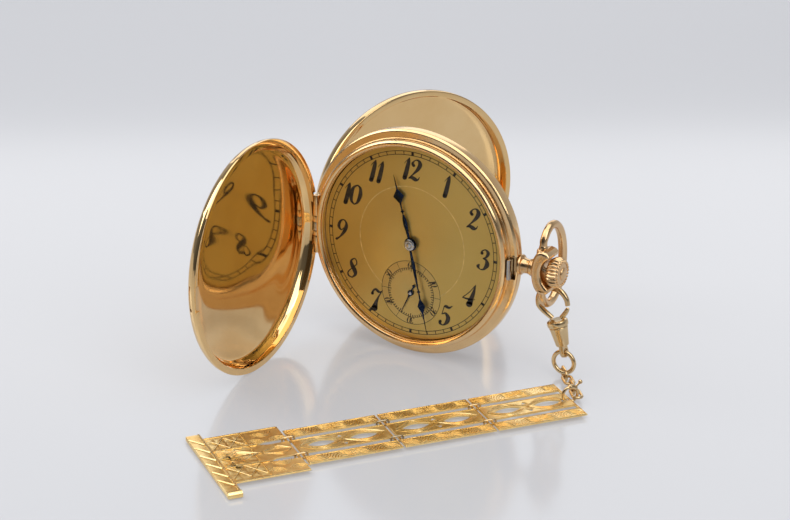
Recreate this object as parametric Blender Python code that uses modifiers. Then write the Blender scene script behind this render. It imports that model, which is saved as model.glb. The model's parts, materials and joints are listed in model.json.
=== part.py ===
"""Hunter pocket watch with its bow, clip and openwork fob, standing open on a table.

Design frame, in millimetres: the origin is the middle of the dial face, +X points to 3 o'clock
and the pendant, +Z to 12 o'clock, and +Y backwards, away from the wearer. "Depth" is Y.
An empty called watch carries that frame to the middle of the whole object's footprint.
"""
import math

import bmesh
import bpy
from mathutils import Vector

MM = 0.001
MERGE = 1e-6

# ---- case -----------------------------------------------------------------------------------
CASE_R = 26.0                    # outer radius of the band and of both covers
CASE_STEPS = 40
HALF_STEP = math.pi / CASE_STEPS
TABLE_Z = -CASE_R * math.cos(HALF_STEP)   # the lowest flat of the band and the covers
BAND_FRONT = 0.3                 # depth of the front shoulder
BAND_BACK = 3.1                  # depth of the rear shoulder
COLLAR_BACK = 5.6                # depth of the collar that the inner cover snaps on
INNER_R = 22.5                   # bore of the band
MOVEMENT_R = 21.2
COVER_GAP = 0.3                  # between a closed cover and its shoulder
HINGE_X = -24.8
KNUCKLE_R = 0.8
PIN_R = 0.3
BORE_R = 0.36
HINGE_HALF = 7.25                # half length of the seat cut for the hinges
FRONT_OPEN = math.radians(87)
REAR_OPEN = math.radians(61)
KNUCKLES = {"top": (1.75, 6.6), "upper": (0.2, 1.7), "middle": (-1.75, 0.15),
            "lower": (-3.0, -1.8), "bottom": (-7.1, -3.05)}

# ---- pendant, crown and bow -----------------------------------------------------------------
PENDANT_DEPTH = 1.7
BOW_X = 31.4
BOW_WIRE = 0.8
BOW_HALF_HEIGHT = 9.0
BOW_MIDDLE = 5.4                 # depth of the bow's widest place
EAR_Z = 4.5

# ---- dial train -----------------------------------------------------------------------------
SECONDS_Z = -11.65
LARGEST_PINION = 15              # teeth
HOUR_ANGLE = math.radians(344)
MINUTE_ANGLE = math.radians(166.8)
SECONDS_ANGLE = math.radians(205)

# ---- clip, links and fob --------------------------------------------------------------------
CLIP_LEAN = math.radians(16)
CLIP_AT = (32.1, BOW_MIDDLE + 0.2, -8.3)   # middle of the hook, just above the bow's wire
EYE_DROP = 12.0                 # from there to the eye of the clip's stud
RING_R = 2.45
RING_WIRE = 0.45
LINK_WIRE = 0.32
LINK_ROUND = 1.0                 # half width of a link, and the radius of its round ends
LINKS = 4
FOB_AT = (42.7, -5.2)            # middle of the fob's right end
FOB_TURN = math.radians(233.0)   # direction from that end towards the end bar
PANEL_GAP = 0.5
BARREL_TOP = -4.4                # of the clip's barrel, below the middle of the hook
LINK_Z = TABLE_Z + LINK_ROUND + LINK_WIRE + 0.05
SPRING_RING_IN = 0.25            # how far inside the panel's end the spring ring's middle lies
PANEL_LENGTH = 20.4
PANEL_WIDTH = 16.0
END_PANEL_LENGTH = 15.9
END_PANEL_WIDTH = 20.8
PANEL_THICK = 0.3
PANEL_Z = TABLE_Z + 0.87         # middle of the panels' thickness
SPRING_RING_R = 1.75
SPRING_RING_WIRE = 0.3
JOIN_WIRE = 0.22                 # the small rings between the panels
JOIN_HALF_HEIGHT = 0.6
JOIN_HALF_LENGTH = 1.35
SLIT_Y = 3.9                     # the two slits lie this far each side of the middle
SLIT_WIDTH = 1.5
STRIP = 0.6                      # solid strip between a slit and the panel's end

# Where the middle of the object's footprint lies in the design frame.
FOOTPRINT_MIDDLE = (9.962, -15.735)

COLOURS = {
    "case_gold": ((0.83, 0.55, 0.26), 1.0, 0.12),
    "red_gold": ((0.78, 0.47, 0.28), 1.0, 0.18),
    "yellow_gold": ((0.80, 0.58, 0.24), 1.0, 0.22),
    "dial_gilt": ((0.62, 0.44, 0.16), 0.6, 0.45),
    "blued_steel": ((0.03, 0.04, 0.09), 1.0, 0.2),
    "steel": ((0.55, 0.56, 0.58), 1.0, 0.25),
    "gilt_brass": ((0.75, 0.56, 0.26), 1.0, 0.3),
    "nickel": ((0.66, 0.64, 0.60), 1.0, 0.3),
    "glass": ((0.95, 0.96, 0.96), 0.0, 0.02),
}


# ---- scene helpers ---------------------------------------------------------------------------
def new_collection(name):
    made = bpy.data.collections.new(name)
    bpy.context.scene.collection.children.link(made)
    return made


for old in list(bpy.data.objects):
    bpy.data.objects.remove(old)
PARTS = new_collection("hunter_pocket_watch")
CUTTERS = new_collection("cutters")


def make_material(name):
    colour, metallic, roughness = COLOURS[name]
    made = bpy.data.materials.new(name)
    made.use_nodes = True
    shader = made.node_tree.nodes["Principled BSDF"]
    shader.inputs["Base Color"].default_value = (*colour, 1.0)
    shader.inputs["Metallic"].default_value = metallic
    shader.inputs["Roughness"].default_value = roughness
    if name == "glass":
        shader.inputs["Transmission Weight"].default_value = 1.0
    return made


MATERIALS = {name: make_material(name) for name in COLOURS}
FRONT = (math.pi / 2, 0, 0)      # local +Z points to the front
RIGHT = (0, math.pi / 2, 0)      # local +Z points to 3 o'clock
UP = (0, 0, 0)


def pivot(name, at, parent=None, turn=(0, 0, 0)):
    """An empty that a group of pieces turns about, placed in its parent's frame."""
    empty = bpy.data.objects.new(name, None)
    empty.location = Vector(at) * MM
    empty.rotation_euler = turn
    empty.parent = parent
    empty.empty_display_size = 0.003
    PARTS.objects.link(empty)
    return empty


def place(data, name, material, parent, at=(0, 0, 0), turn=UP):
    """A visible piece, or with no material a hidden cutter."""
    piece = bpy.data.objects.new(name, data)
    piece.location = Vector(at) * MM
    piece.rotation_euler = turn
    piece.parent = parent
    if material:
        data.materials.append(MATERIALS[material])
        PARTS.objects.link(piece)
    else:
        piece.hide_render = True
        piece.display_type = "WIRE"
        CUTTERS.objects.link(piece)
    return piece


def turned(name, profile, material, parent, at=(0, 0, 0), turn=FRONT, steps=CASE_STEPS, ring=False):
    """A turned piece. The profile is (radius, depth), from the front down its outer side."""
    toward = 1 if turn != FRONT else -1
    mesh = bpy.data.meshes.new(name)
    points = [(radius * MM, 0, toward * depth * MM) for radius, depth in profile]
    edges = [(i, i + 1) for i in range(len(points) - 1)]
    if ring:
        edges.append((len(points) - 1, 0))
    mesh.from_pydata(points, edges, [])
    piece = place(mesh, name, material, parent, at, turn)
    screw = piece.modifiers.new("Turn", "SCREW")
    screw.steps = screw.render_steps = steps
    screw.use_merge_vertices = True
    screw.merge_threshold = MERGE
    screw.use_smooth_shade = True
    return piece


def case_turn():
    """Case rings are turned half a step, so that a flat faces the table."""
    return (math.pi / 2, -HALF_STEP, 0)


def case_ring(name, profile, material, parent, at=(0, 0, 0), ring=False):
    piece = turned(name, profile, material, parent, at, FRONT, CASE_STEPS, ring)
    piece.rotation_euler = case_turn()
    return piece


def block(name, low, high, parent, material=None, turn=UP):
    """A box between two corners given in the parent's frame."""
    low, high = Vector(low), Vector(high)
    shape = bmesh.new()
    bmesh.ops.create_cube(shape, size=1.0)
    for vertex in shape.verts:
        vertex.co = Vector([c * s * MM for c, s in zip(vertex.co, high - low)])
    mesh = bpy.data.meshes.new(name)
    shape.to_mesh(mesh)
    shape.free()
    return place(mesh, name, material, parent, (low + high) / 2, turn)


def rod(name, radius, start, end, at, parent, turn=UP, material=None, steps=12):
    """A round rod along its local Z, from start to end as measured from its own origin."""
    shape = bmesh.new()
    bmesh.ops.create_cone(shape, cap_ends=True, segments=steps, radius1=radius * MM,
                          radius2=radius * MM, depth=(end - start) * MM)
    for vertex in shape.verts:
        vertex.co.z += (start + end) / 2 * MM
    mesh = bpy.data.meshes.new(name)
    shape.to_mesh(mesh)
    shape.free()
    return place(mesh, name, material, parent, at, turn)


def combine(target, tools, operation="UNION"):
    for tool in tools:
        boolean = target.modifiers.new(tool.name, "BOOLEAN")
        boolean.object = tool
        boolean.operation = operation
    return target


def curve_data(name, dimensions="3D"):
    data = bpy.data.curves.new(name, "CURVE")
    data.dimensions = dimensions
    return data


def add_points(data, points, cyclic):
    spline = data.splines.new("POLY")
    spline.points.add(len(points) - 1)
    for target, point in zip(spline.points, points):
        target.co = (*[value * MM for value in point], 1.0)
    spline.use_cyclic_u = cyclic


def wire(name, points, radius, material, parent, at=(0, 0, 0), turn=UP, cyclic=False, bevel=2):
    data = curve_data(name)
    add_points(data, points, cyclic)
    data.bevel_depth = radius * MM
    data.bevel_resolution = bevel
    data.use_fill_caps = not cyclic
    return place(data, name, material, parent, at, turn)


def as_mesh(piece):
    """Turns a curve piece into a mesh with welded caps, so that it can be cut or joined."""
    bpy.context.view_layer.update()
    evaluated = piece.evaluated_get(bpy.context.evaluated_depsgraph_get())
    mesh = bpy.data.meshes.new_from_object(evaluated)
    shape = bmesh.new()
    shape.from_mesh(mesh)
    bmesh.ops.remove_doubles(shape, verts=shape.verts, dist=MERGE)
    bmesh.ops.recalc_face_normals(shape, faces=shape.faces)
    shape.to_mesh(mesh)
    shape.free()
    name, parent, hidden = piece.name, piece.parent, piece.hide_render
    location, turn = piece.location.copy(), piece.rotation_euler.copy()
    home = piece.users_collection[0]
    bpy.data.objects.remove(piece)
    made = bpy.data.objects.new(name, mesh)
    made.location, made.rotation_euler, made.parent = location, turn, parent
    made.hide_render = hidden
    made.display_type = "WIRE" if hidden else "TEXTURED"
    home.objects.link(made)
    return made


def plate(name, outlines, front, back, material, parent, at=(0, 0), turn=FRONT):
    """A flat piece between two depths. Its first outline is the edge and the rest are holes."""
    data = curve_data(name, "2D")
    data.fill_mode = "BOTH"
    data.extrude = (back - front) / 2 * MM
    for outline in outlines:
        add_points(data, [(x, y, 0) for x, y in outline], True)
    return as_mesh(place(data, name, material, parent, (at[0], (front + back) / 2, at[1]), turn))


# ---- outlines --------------------------------------------------------------------------------
def polar(radius, angle):
    return (radius * math.cos(angle), radius * math.sin(angle))


def arc(radius, start, end, count, middle=(0, 0)):
    """Points on an arc in degrees, both ends included."""
    angles = [math.radians(start + (end - start) * i / (count - 1)) for i in range(count)]
    return [(middle[0] + radius * math.cos(a), middle[1] + radius * math.sin(a)) for a in angles]


def circle(radius, count=12, middle=(0, 0)):
    return arc(radius, 0, 360 - 360 / count, count, middle)


def sector(inner, outer, start, end, count=12):
    return arc(outer, start, end, count) + arc(inner, end, start, max(3, count // 2))


def capsule(start, end, first, second, count=6):
    """An arm with a round end at each of two points."""
    along = math.degrees(math.atan2(end[1] - start[1], end[0] - start[0]))
    return (arc(second, along - 90, along + 90, count, end)
            + arc(first, along + 90, along + 270, count, start))


def gear_outline(teeth, module, tooth_at):
    """Pointed teeth, one of them centred on the angle tooth_at. A pinion's have wide roots."""
    pitch = 2 * math.pi / teeth
    root = module * (teeth / 2 - 1.15)
    tip = module * (teeth / 2 + 0.7)
    points = []
    for tooth in range(teeth):
        middle = tooth_at + tooth * pitch
        if teeth > LARGEST_PINION:
            points += [polar(root, middle - 0.5 * pitch), polar(tip, middle)]
        else:
            points += [polar(root, middle - 0.24 * pitch), polar(tip, middle),
                       polar(root, middle + 0.24 * pitch)]
    return points


def crossings(inner, outer, arms, arm_width):
    """The openings between a wheel's arms."""
    holes = []
    for index in range(arms):
        start, end = 360 / arms * index, 360 / arms * (index + 1)
        near, far = [math.degrees(arm_width / 2 / radius) for radius in (inner, outer)]
        holes.append(arc(outer, start + far, end - far, 5) + arc(inner, end - near, start + near, 3))
    return holes


def wheel_set(name, parent, material, arbor, wheel, pinion=None):
    """A toothed wheel and its pinion on one arbor.

    arbor is (radius, front, back). wheel and pinion are (teeth, module, front, back, tooth angle).
    """
    radius, front, back = arbor
    teeth, module, wheel_front, wheel_back, tooth_at = wheel
    rim = module * (teeth / 2 - 2.2)
    outlines = [gear_outline(teeth, module, tooth_at)]
    if rim > 2.5:
        outlines += crossings(1.3, rim, 4, 0.5)
    body = plate(name, outlines, wheel_front, wheel_back, material, parent)
    tools = [rod(name + "_arbor", radius, -back, -front, (0, 0, 0), parent, FRONT, steps=8)]
    if pinion:
        teeth, module, pinion_front, pinion_back, tooth_at = pinion
        tools.append(plate(name + "_pinion", [gear_outline(teeth, module, tooth_at)],
                           pinion_front, pinion_back, None, parent))
    return combine(body, tools)


def between(start, end):
    """Angle of the line of centres from one arbor to the next."""
    return math.atan2(end[1] - start[1], end[0] - start[0])


# ---- case ------------------------------------------------------------------------------------
def leaf_knuckle(name, key, parent, at, heading, low_side, high_side, reach, material=None):
    """A bored hinge knuckle with a straight web, which runs along heading between two offsets."""
    start = math.degrees(math.asin(high_side / KNUCKLE_R))
    end = 360 + math.degrees(math.asin(low_side / KNUCKLE_R))
    outline = arc(KNUCKLE_R, start, end, 11) + [(reach, low_side), (reach, high_side)]
    cos, sin = math.cos(heading), math.sin(heading)
    outline = [(x * cos - y * sin, x * sin + y * cos) for x, y in outline]
    low, high = KNUCKLES[key]
    data = curve_data(name, "2D")
    data.fill_mode = "BOTH"
    data.extrude = (high - low) / 2 * MM
    for points in (outline, circle(BORE_R, 10)):
        add_points(data, [(x, y, 0) for x, y in points], True)
    middle = (at[0], at[1], at[2] + (low + high) / 2)
    return as_mesh(place(data, name, material, parent, middle))


def make_band(watch):
    profile = [(24.1, 0.0), (24.1, BAND_FRONT), (25.6, BAND_FRONT), (CASE_R, 0.65),
               (CASE_R, BAND_BACK - 0.35), (25.6, BAND_BACK), (23.6, BAND_BACK),
               (23.6, COLLAR_BACK), (INNER_R, COLLAR_BACK), (INNER_R, 0.0)]
    band = case_ring("case_band", profile, "case_gold", watch, ring=True)
    seat = block("hinge_seat", (-27, -1, -HINGE_HALF), (-23.85, 7, HINGE_HALF), watch)
    combine(band, [seat], "DIFFERENCE")
    for side, depth, web in (("front", BAND_FRONT, (0.05, 0.7)), ("rear", BAND_BACK, (-0.7, -0.05))):
        combine(band, [leaf_knuckle("band_%s_%s" % (side, key), key, watch, (HINGE_X, depth, 0), 0,
                                    *web, 1.3) for key in ("top", "bottom")])
    pendant_hole = rod("pendant_hole", 1.1, 20.0, 27.0, (0, PENDANT_DEPTH, 0), watch, RIGHT)
    catch_slot = block("catch_slot", (21.0, -0.6, -3.25), (25.5, 1.85, -1.35), watch)
    catch_recess = block("catch_recess", (24.15, -0.5, -3.3), (25.65, 0.5, 2.0), watch)
    combine(band, [pendant_hole, catch_slot, catch_recess], "DIFFERENCE")


def make_hinge_pins(watch):
    for side, depth in (("front", BAND_FRONT), ("rear", BAND_BACK)):
        rod(side + "_hinge_pin", PIN_R, -7.05, 6.55, (HINGE_X, depth, 0), watch, UP, "steel")
    low, high = KNUCKLES["middle"]
    turned("front_hinge_collar", [(KNUCKLE_R, high), (KNUCKLE_R, low), (BORE_R, low), (BORE_R, high)],
           "steel", watch, (HINGE_X, BAND_FRONT, 0), UP, 12, ring=True)


def make_cover(watch, side):
    """A domed cover, modelled shut in its hinge's frame, and opened by turning that frame."""
    if side == "front":
        depth, sign, turn = BAND_FRONT, -1, -FRONT_OPEN
        outer = [(0, 4.9), (9, 4.75), (17, 4.2), (22.5, 3.3), (24.9, 2.3), (25.8, 1.1), (CASE_R, 0)]
        inner = [(24.4, 0), (24.4, 1.2), (24.1, 1.9), (22.2, 2.8), (17, 3.7), (9, 4.3), (0, 4.45)]
    else:
        depth, sign, turn = BAND_BACK, 1, REAR_OPEN
        outer = [(0, 5.2), (9, 5.1), (17, 4.75), (23.2, 4.1), (25.3, 2.9), (25.9, 1.6), (CASE_R, 0)]
        inner = [(24.6, 0), (24.6, 2.2), (24.35, 2.9), (22.6, 3.6), (17, 4.25), (9, 4.6), (0, 4.7)]
    hinge = pivot(side + "_cover_hinge", (HINGE_X, depth, 0), watch, (0, 0, turn))
    middle = (-HINGE_X, sign * COVER_GAP, 0)
    profile = [(radius, sign * rise) for radius, rise in outer + inner]
    if side == "rear":
        profile.reverse()
    cover = case_ring(side + "_cover", profile, "case_gold", hinge, middle)
    edge = HINGE_X + 0.95
    relief = block(side + "_relief", (-3, min(-sign * 2, sign * 0.95), -HINGE_HALF),
                   (edge - HINGE_X, max(-sign * 2, sign * 0.95), HINGE_HALF), hinge)
    combine(cover, [relief], "DIFFERENCE")
    web = (-0.6, 0.15) if side == "front" else (-0.15, 0.6)
    combine(cover, [leaf_knuckle("%s_leaf_%s" % (side, key), key, hinge, (0, 0, 0), sign * math.pi / 2,
                                 *web, 1.6) for key in ("upper", "lower")])
    free_edge = 24.1 - HINGE_X
    if side == "front":
        notch = block("catch_notch", (free_edge - 0.3, -2.0, -3.5), (free_edge + 1.5, 1, 2.2), hinge)
    else:
        notch = block("thumb_notch", (free_edge + 1.3, -1, 5.0), (free_edge + 2.2, 0.75, 8.0), hinge)
    combine(cover, [notch], "DIFFERENCE")


def make_cuvette(watch):
    hinge = pivot("cuvette_hinge", (HINGE_X, BAND_BACK, 0), watch)
    profile = [(0, 5.75), (23.75, 5.75), (23.75, 4.7), (24.15, 4.7), (24.15, 6.0), (23.9, 6.2),
               (0, 6.35)]
    middle = (-HINGE_X, -BAND_BACK, 0)
    cuvette = case_ring("cuvette", profile, "case_gold", hinge, middle)
    combine(cuvette, [leaf_knuckle("cuvette_knuckle", "middle", hinge, (0, 0, 0), math.pi / 2,
                                   -0.78, -0.36, 2.3)])


def make_bezel(watch):
    profile = [(22.9, -1.8), (23.3, -1.75), (23.85, -1.3), (24.1, -0.7), (24.1, -0.05), (22.45, -0.05),
               (22.45, -1.2), (22.9, -1.2)]
    case_ring("bezel", profile, "case_gold", watch, ring=True)
    case_ring("crystal", [(0, -2.0), (22.8, -1.7), (22.8, -1.25), (0, -1.5)], "glass", watch)


def make_springs(watch):
    """The lift spring throws the front cover open, and the lock spring catches it."""
    plate("lift_spring", [sector(21.4, 21.8, 118, 176)], 0.6, 2.6, "steel", watch)
    lock = plate("lock_spring", [sector(21.0, 21.4, -52, -3.6)], 0.6, 1.3, "steel", watch)
    arm = block("lock_arm", (21.3, 1.05, -2.95), (24.95, 1.55, -1.6), watch)
    leg = block("lock_leg", (24.3, 0.0, -2.95), (25.0, 1.5, -1.6), watch)
    nose = block("lock_nose", (24.25, -1.2, -3.0), (25.05, 0.25, 1.7), watch)
    combine(lock, [arm, leg, nose])


# ---- pendant, crown and bow ------------------------------------------------------------------
def make_pendant(watch):
    profile = [(3.9, 32.1), (3.9, 31.5), (2.7, 30.7), (1.75, 29.8), (1.75, 27.6), (2.35, 26.35),
               (1.05, 26.2), (1.05, 23.0), (0.75, 23.0), (0.75, 32.1)]
    at = (0, PENDANT_DEPTH, 0)
    pendant = turned("pendant", profile, "red_gold", watch, at, RIGHT, 20, ring=True)
    for sign in (1, -1):
        start, end = sorted((sign * 3.4, sign * EAR_Z))
        ear = rod("ear_%d" % sign, 1.3, start, end, (BOW_X, PENDANT_DEPTH, 0), watch)
        start, end = sorted((sign * 3.75, sign * 6))
        hole = rod("ear_hole_%d" % sign, 0.95, start, end, (BOW_X, PENDANT_DEPTH, 0), watch)
        combine(pendant, [ear])
        combine(pendant, [hole], "DIFFERENCE")


def make_crown(watch):
    line = pivot("winding_line", (0, PENDANT_DEPTH, 0), watch)
    crown = [(0, 36.8), (1.2, 36.7), (1.35, 36.4), (2.8, 36.1), (3.4, 35.4), (3.4, 34.4),
             (2.7, 33.3), (0.7, 33.1), (0.7, 34.6), (0, 34.6)]
    turned("crown", crown, "red_gold", line, (0, 0, 0), RIGHT, 24)
    stem = rod("winding_stem", 0.55, 12.6, 34.2, (0, 0, 0), line, RIGHT, "steel")
    combine(stem, [rod("winding_pinion", 1.1, 13.0, 14.6, (0, 0, 0), line, RIGHT)])


def bow_points():
    """Half ellipses in front of and behind the bow's middle, with a short pin at each end."""
    front, back = 5.2, 5.9
    start = math.acos(-(BOW_MIDDLE - PENDANT_DEPTH) / front)
    angles = [start - 2 * start * i / 18 for i in range(19)]
    loop = []
    for angle in angles:
        reach = back if math.cos(angle) > 0 else front
        loop.append((0, BOW_MIDDLE + reach * math.cos(angle) - PENDANT_DEPTH,
                     BOW_HALF_HEIGHT * math.sin(angle)))
    return [(0, 0, 3.85)] + loop + [(0, 0, -3.85)]


def make_bow(watch):
    hinge = pivot("bow_hinge", (BOW_X, PENDANT_DEPTH, 0), watch)
    wire("bow", bow_points(), BOW_WIRE, "red_gold", hinge)
    return hinge


# ---- dial, hands and motion work -------------------------------------------------------------
def make_dial(watch):
    dial = turned("dial", [(22.35, 0.0), (22.35, 0.4), (0.95, 0.4), (0.95, 0.0)], "dial_gilt", watch,
                  ring=True)
    combine(dial, [rod("seconds_hole", 0.4, -1, 1, (0, 0, SECONDS_Z), watch, FRONT)], "DIFFERENCE")


def hand_outline(length, lozenge_at, lozenge_half, lozenge_width, hub, tail):
    """Half of a hand to the right of its line, mirrored. It points along +Y in its own plane."""
    half = [(0.30, lozenge_at * 0.62), (0.62, lozenge_at * 0.35), (0.30, hub * 0.95)]
    right = [(lozenge_width / 2, lozenge_at), (0.22, lozenge_at - lozenge_half)] + half
    left = [(-x, y) for x, y in reversed(right)]
    foot = arc(hub, 70, -250, 12) if not tail else [(hub, 0), (0.25, -hub), (0, -tail), (-0.25, -hub),
                                                    (-hub, 0)]
    return [(0, length)] + [(0.16, lozenge_at + lozenge_half)] + right + foot + left + [
        (-0.16, lozenge_at + lozenge_half)]


def hand(name, outline, hole, front, back, parent, angle):
    """A flat hand turned clockwise from 12 o'clock."""
    turned_outline = []
    for x, y in outline:
        turned_outline.append((x * math.cos(angle) + y * math.sin(angle),
                               y * math.cos(angle) - x * math.sin(angle)))
    return plate(name, [turned_outline, circle(hole)], front, back, "blued_steel", parent)


def make_motion_work(arbors):
    """The wheels between the dial and the main plate, and the hands that they carry."""
    centre, minute, fourth = arbors["centre"], arbors["minute"], arbors["fourth"]
    to_minute = between((0, 0), MINUTE_WHEEL)
    hour_wheel = plate("hour_wheel", [gear_outline(32, 0.2, to_minute), circle(0.58)], 0.55, 0.75,
                       "gilt_brass", arbors["hour"])
    tube = turned("hour_tube", [(0.78, -0.64), (0.78, 0.7), (0.58, 0.7), (0.58, -0.64)], None,
                  arbors["hour"], steps=12, ring=True)
    combine(hour_wheel, [tube])
    cannon = plate("cannon_pinion", [gear_outline(10, 0.2, to_minute), circle(0.3)], 0.9, 1.2,
                   "steel", centre)
    tube = turned("cannon_tube", [(0.5, -1.1), (0.5, 1.0), (0.3, 1.0), (0.3, -1.1)], None, centre,
                  steps=12, ring=True)
    combine(cannon, [tube])
    minute_wheel = plate("minute_wheel", [gear_outline(30, 0.2, to_minute + math.pi * 31 / 30),
                                          circle(0.36)], 0.95, 1.15, "gilt_brass", minute)
    pinion = plate("minute_pinion", [gear_outline(8, 0.2, to_minute + math.pi * 9 / 8), circle(0.36)],
                   0.5, 1.0, None, minute)
    combine(minute_wheel, [pinion])
    hand("hour_hand", hand_outline(16.0, 11.0, 1.6, 2.7, 1.5, 0), 0.84, -0.62, -0.47,
         arbors["hour"], HOUR_ANGLE)
    hand("minute_hand", hand_outline(20.9, 14.4, 1.7, 1.7, 1.35, 0), 0.55, -1.05, -0.9, centre,
         MINUTE_ANGLE)
    seconds = [(0, 5.2), (0.12, 4.6), (0.2, 0.5)] + arc(0.6, 60, -60, 4) + [
        (0.25, -1.6), (0.1, -2.6), (-0.1, -2.6), (-0.25, -1.6)] + arc(0.6, 240, 120, 4) + [
        (-0.2, 0.5), (-0.12, 4.6)]
    hand("seconds_hand", seconds, 0.24, -0.33, -0.2, fourth, SECONDS_ANGLE)


# ---- movement --------------------------------------------------------------------------------
def third_point(start, end, from_start, from_end, side):
    """The point at two given distances from two arbors."""
    gap = math.dist(start, end)
    along = (from_start ** 2 - from_end ** 2 + gap ** 2) / (2 * gap)
    aside = side * math.sqrt(from_start ** 2 - along ** 2)
    ux, uy = (end[0] - start[0]) / gap, (end[1] - start[1]) / gap
    return (start[0] + along * ux - aside * uy, start[1] + along * uy + aside * ux)


CENTRE = (0.0, 0.0)
FOURTH = (0.0, SECONDS_Z)
THIRD = third_point(CENTRE, FOURTH, 0.2 * 36, 0.19 * 34, 1)
BARREL = polar(0.25 * 42, math.radians(60))
CROWN_WHEEL_Z = 3.6
CROWN_WHEEL = (BARREL[0] + math.sqrt(9.0 ** 2 - (BARREL[1] - CROWN_WHEEL_Z) ** 2), CROWN_WHEEL_Z)
ESCAPE = (FOURTH[0] + polar(0.14 * 38.5, math.radians(195))[0],
          FOURTH[1] + polar(0.14 * 38.5, math.radians(195))[1])
ESCAPE_LINE = math.radians(140)  # direction from the escape wheel to the fork and the balance
FORK = (ESCAPE[0] + polar(4.6, ESCAPE_LINE)[0], ESCAPE[1] + polar(4.6, ESCAPE_LINE)[1])
BALANCE = (ESCAPE[0] + polar(9.2, ESCAPE_LINE)[0], ESCAPE[1] + polar(9.2, ESCAPE_LINE)[1])
MINUTE_WHEEL = polar(4.0, math.radians(150))
CLICK = (BARREL[0] + polar(7.0, math.radians(100))[0], BARREL[1] + polar(7.0, math.radians(100))[1])
PLATE_FRONT, PLATE_BACK = 1.4, 2.4
BRIDGE_FRONT, BRIDGE_BACK = 4.6, 5.2


def foot(name, radius, at, parent, back=BRIDGE_FRONT + 0.2):
    """A bridge's foot, standing on the main plate."""
    return rod(name, radius, -back, -(PLATE_BACK + 0.03), (at[0], 0, at[1]), parent, FRONT)


def make_plates(watch):
    holes = [circle(0.34, 8, CENTRE), circle(0.3, 8, FOURTH)]
    slot = 1.5
    edge = math.degrees(math.asin(slot / MOVEMENT_R))
    rim = arc(MOVEMENT_R, edge, 360 - edge, 40) + [(11.5, -slot), (11.5, slot)]
    main = plate("main_plate", [rim] + holes, PLATE_FRONT, PLATE_BACK, "gilt_brass", watch)
    combine(main, [rod("minute_post", 0.3, -1.6, -0.5, (MINUTE_WHEEL[0], 0, MINUTE_WHEEL[1]), watch,
                       FRONT, steps=8)])
    rounded = arc(20.8, -10, 135, 16) + arc(2.4, 225, 350 - 20, 5)
    barrel = plate("barrel_bridge", [rounded, circle(1.3, 12, BARREL)], BRIDGE_FRONT, BRIDGE_BACK,
                   "nickel", watch)
    combine(barrel, [foot("barrel_foot_%d" % n, 1.0, polar(19.4, math.radians(a)), watch)
                     for n, a in enumerate((128, 28))])
    train = plate("train_bridge", [sector(3.4, 20.8, -116, -28, 14)], BRIDGE_FRONT, BRIDGE_BACK,
                  "nickel", watch)
    combine(train, [foot("train_foot_%d" % n, 1.0, polar(19.4, math.radians(a)), watch)
                    for n, a in enumerate((-112, -34))])
    cock_foot = polar(19.0, math.radians(168))
    cock = plate("balance_cock", [capsule(cock_foot, BALANCE, 2.0, 2.4)], 5.15, 5.65, "nickel", watch)
    combine(cock, [foot("cock_foot", 1.5, cock_foot, watch, 5.3)])
    fork_foot = polar(19.6, math.radians(-125))
    bridge = plate("pallet_bridge", [capsule(fork_foot, FORK, 1.0, 1.0)], 3.85, 4.15, "nickel", watch)
    combine(bridge, [foot("fork_foot", 0.8, fork_foot, watch, 4.0)])


def spiral(inner, outer, turns, per_turn):
    count = int(turns * per_turn)
    points = []
    for i in range(count + 1):
        x, y = polar(inner + (outer - inner) * i / count, 2 * math.pi * i / per_turn)
        points.append((x, y, 0))
    return points


def make_train(arbors):
    to_third, third_on = between(CENTRE, THIRD), between(THIRD, FOURTH)
    to_escape, to_barrel = between(FOURTH, ESCAPE), between(CENTRE, BARREL)
    wheel_set("centre_wheel", arbors["centre"], "gilt_brass", (0.25, -1.15, 4.55),
              (64, 0.2, 4.1, 4.3, to_third), (12, 0.25, 2.5, 3.2, to_barrel + math.pi / 12))
    wheel_set("third_wheel", arbors["third"], "gilt_brass", (0.25, 2.45, 4.55),
              (60, 0.19, 3.45, 3.65, third_on), (8, 0.2, 3.9, 4.45, to_third + math.pi * 9 / 8))
    wheel_set("fourth_wheel", arbors["fourth"], "gilt_brass", (0.2, -0.4, 4.55),
              (70, 0.14, 2.7, 2.9, to_escape), (8, 0.19, 3.3, 3.8, third_on + math.pi * 9 / 8))
    wheel_set("escape_wheel", arbors["escape"], "steel", (0.2, 2.45, 4.55),
              (15, 0.4, 3.3, 3.5, 0.0), (7, 0.14, 2.5, 3.1, to_escape + math.pi * 8 / 7))
    barrel = plate("barrel", [gear_outline(72, 0.25, to_barrel + math.pi), circle(1.4)], 2.55, 2.85,
                   "gilt_brass", arbors["barrel"])
    wall = turned("barrel_wall", [(8.2, 2.7), (8.2, 3.9), (7.8, 3.9), (7.8, 2.7)], None,
                  arbors["barrel"], steps=24, ring=True)
    combine(barrel, [wall])
    wire("mainspring", spiral(1.9, 7.2, 3, 12), 0.22, "steel", arbors["barrel"], (0, 3.4, 0), FRONT,
         bevel=0)


def make_winding_work(watch, arbors):
    to_crown_wheel = between(BARREL, CROWN_WHEEL)
    rod("barrel_arbor", 1.2, -5.6, -2.6, (0, 0, 0), arbors["ratchet"], FRONT, "steel", 8)
    plate("ratchet_wheel", [gear_outline(36, 0.3, to_crown_wheel), circle(1.27, 8)], 5.27, 5.52,
          "steel", arbors["ratchet"])
    plate("crown_wheel", [gear_outline(24, 0.3, to_crown_wheel + math.pi * 25 / 24), circle(0.6)],
          5.27, 5.52, "steel", arbors["crown_wheel"])
    click = pivot("click_pivot", (CLICK[0], 0, CLICK[1]), watch)
    plate("click", [[(-0.9, -0.6), (0.9, -0.6), (1.1, 0.4), (0.2, 0.7), (-0.9, 0.5)]], 5.27, 5.5,
          "steel", click)


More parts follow.
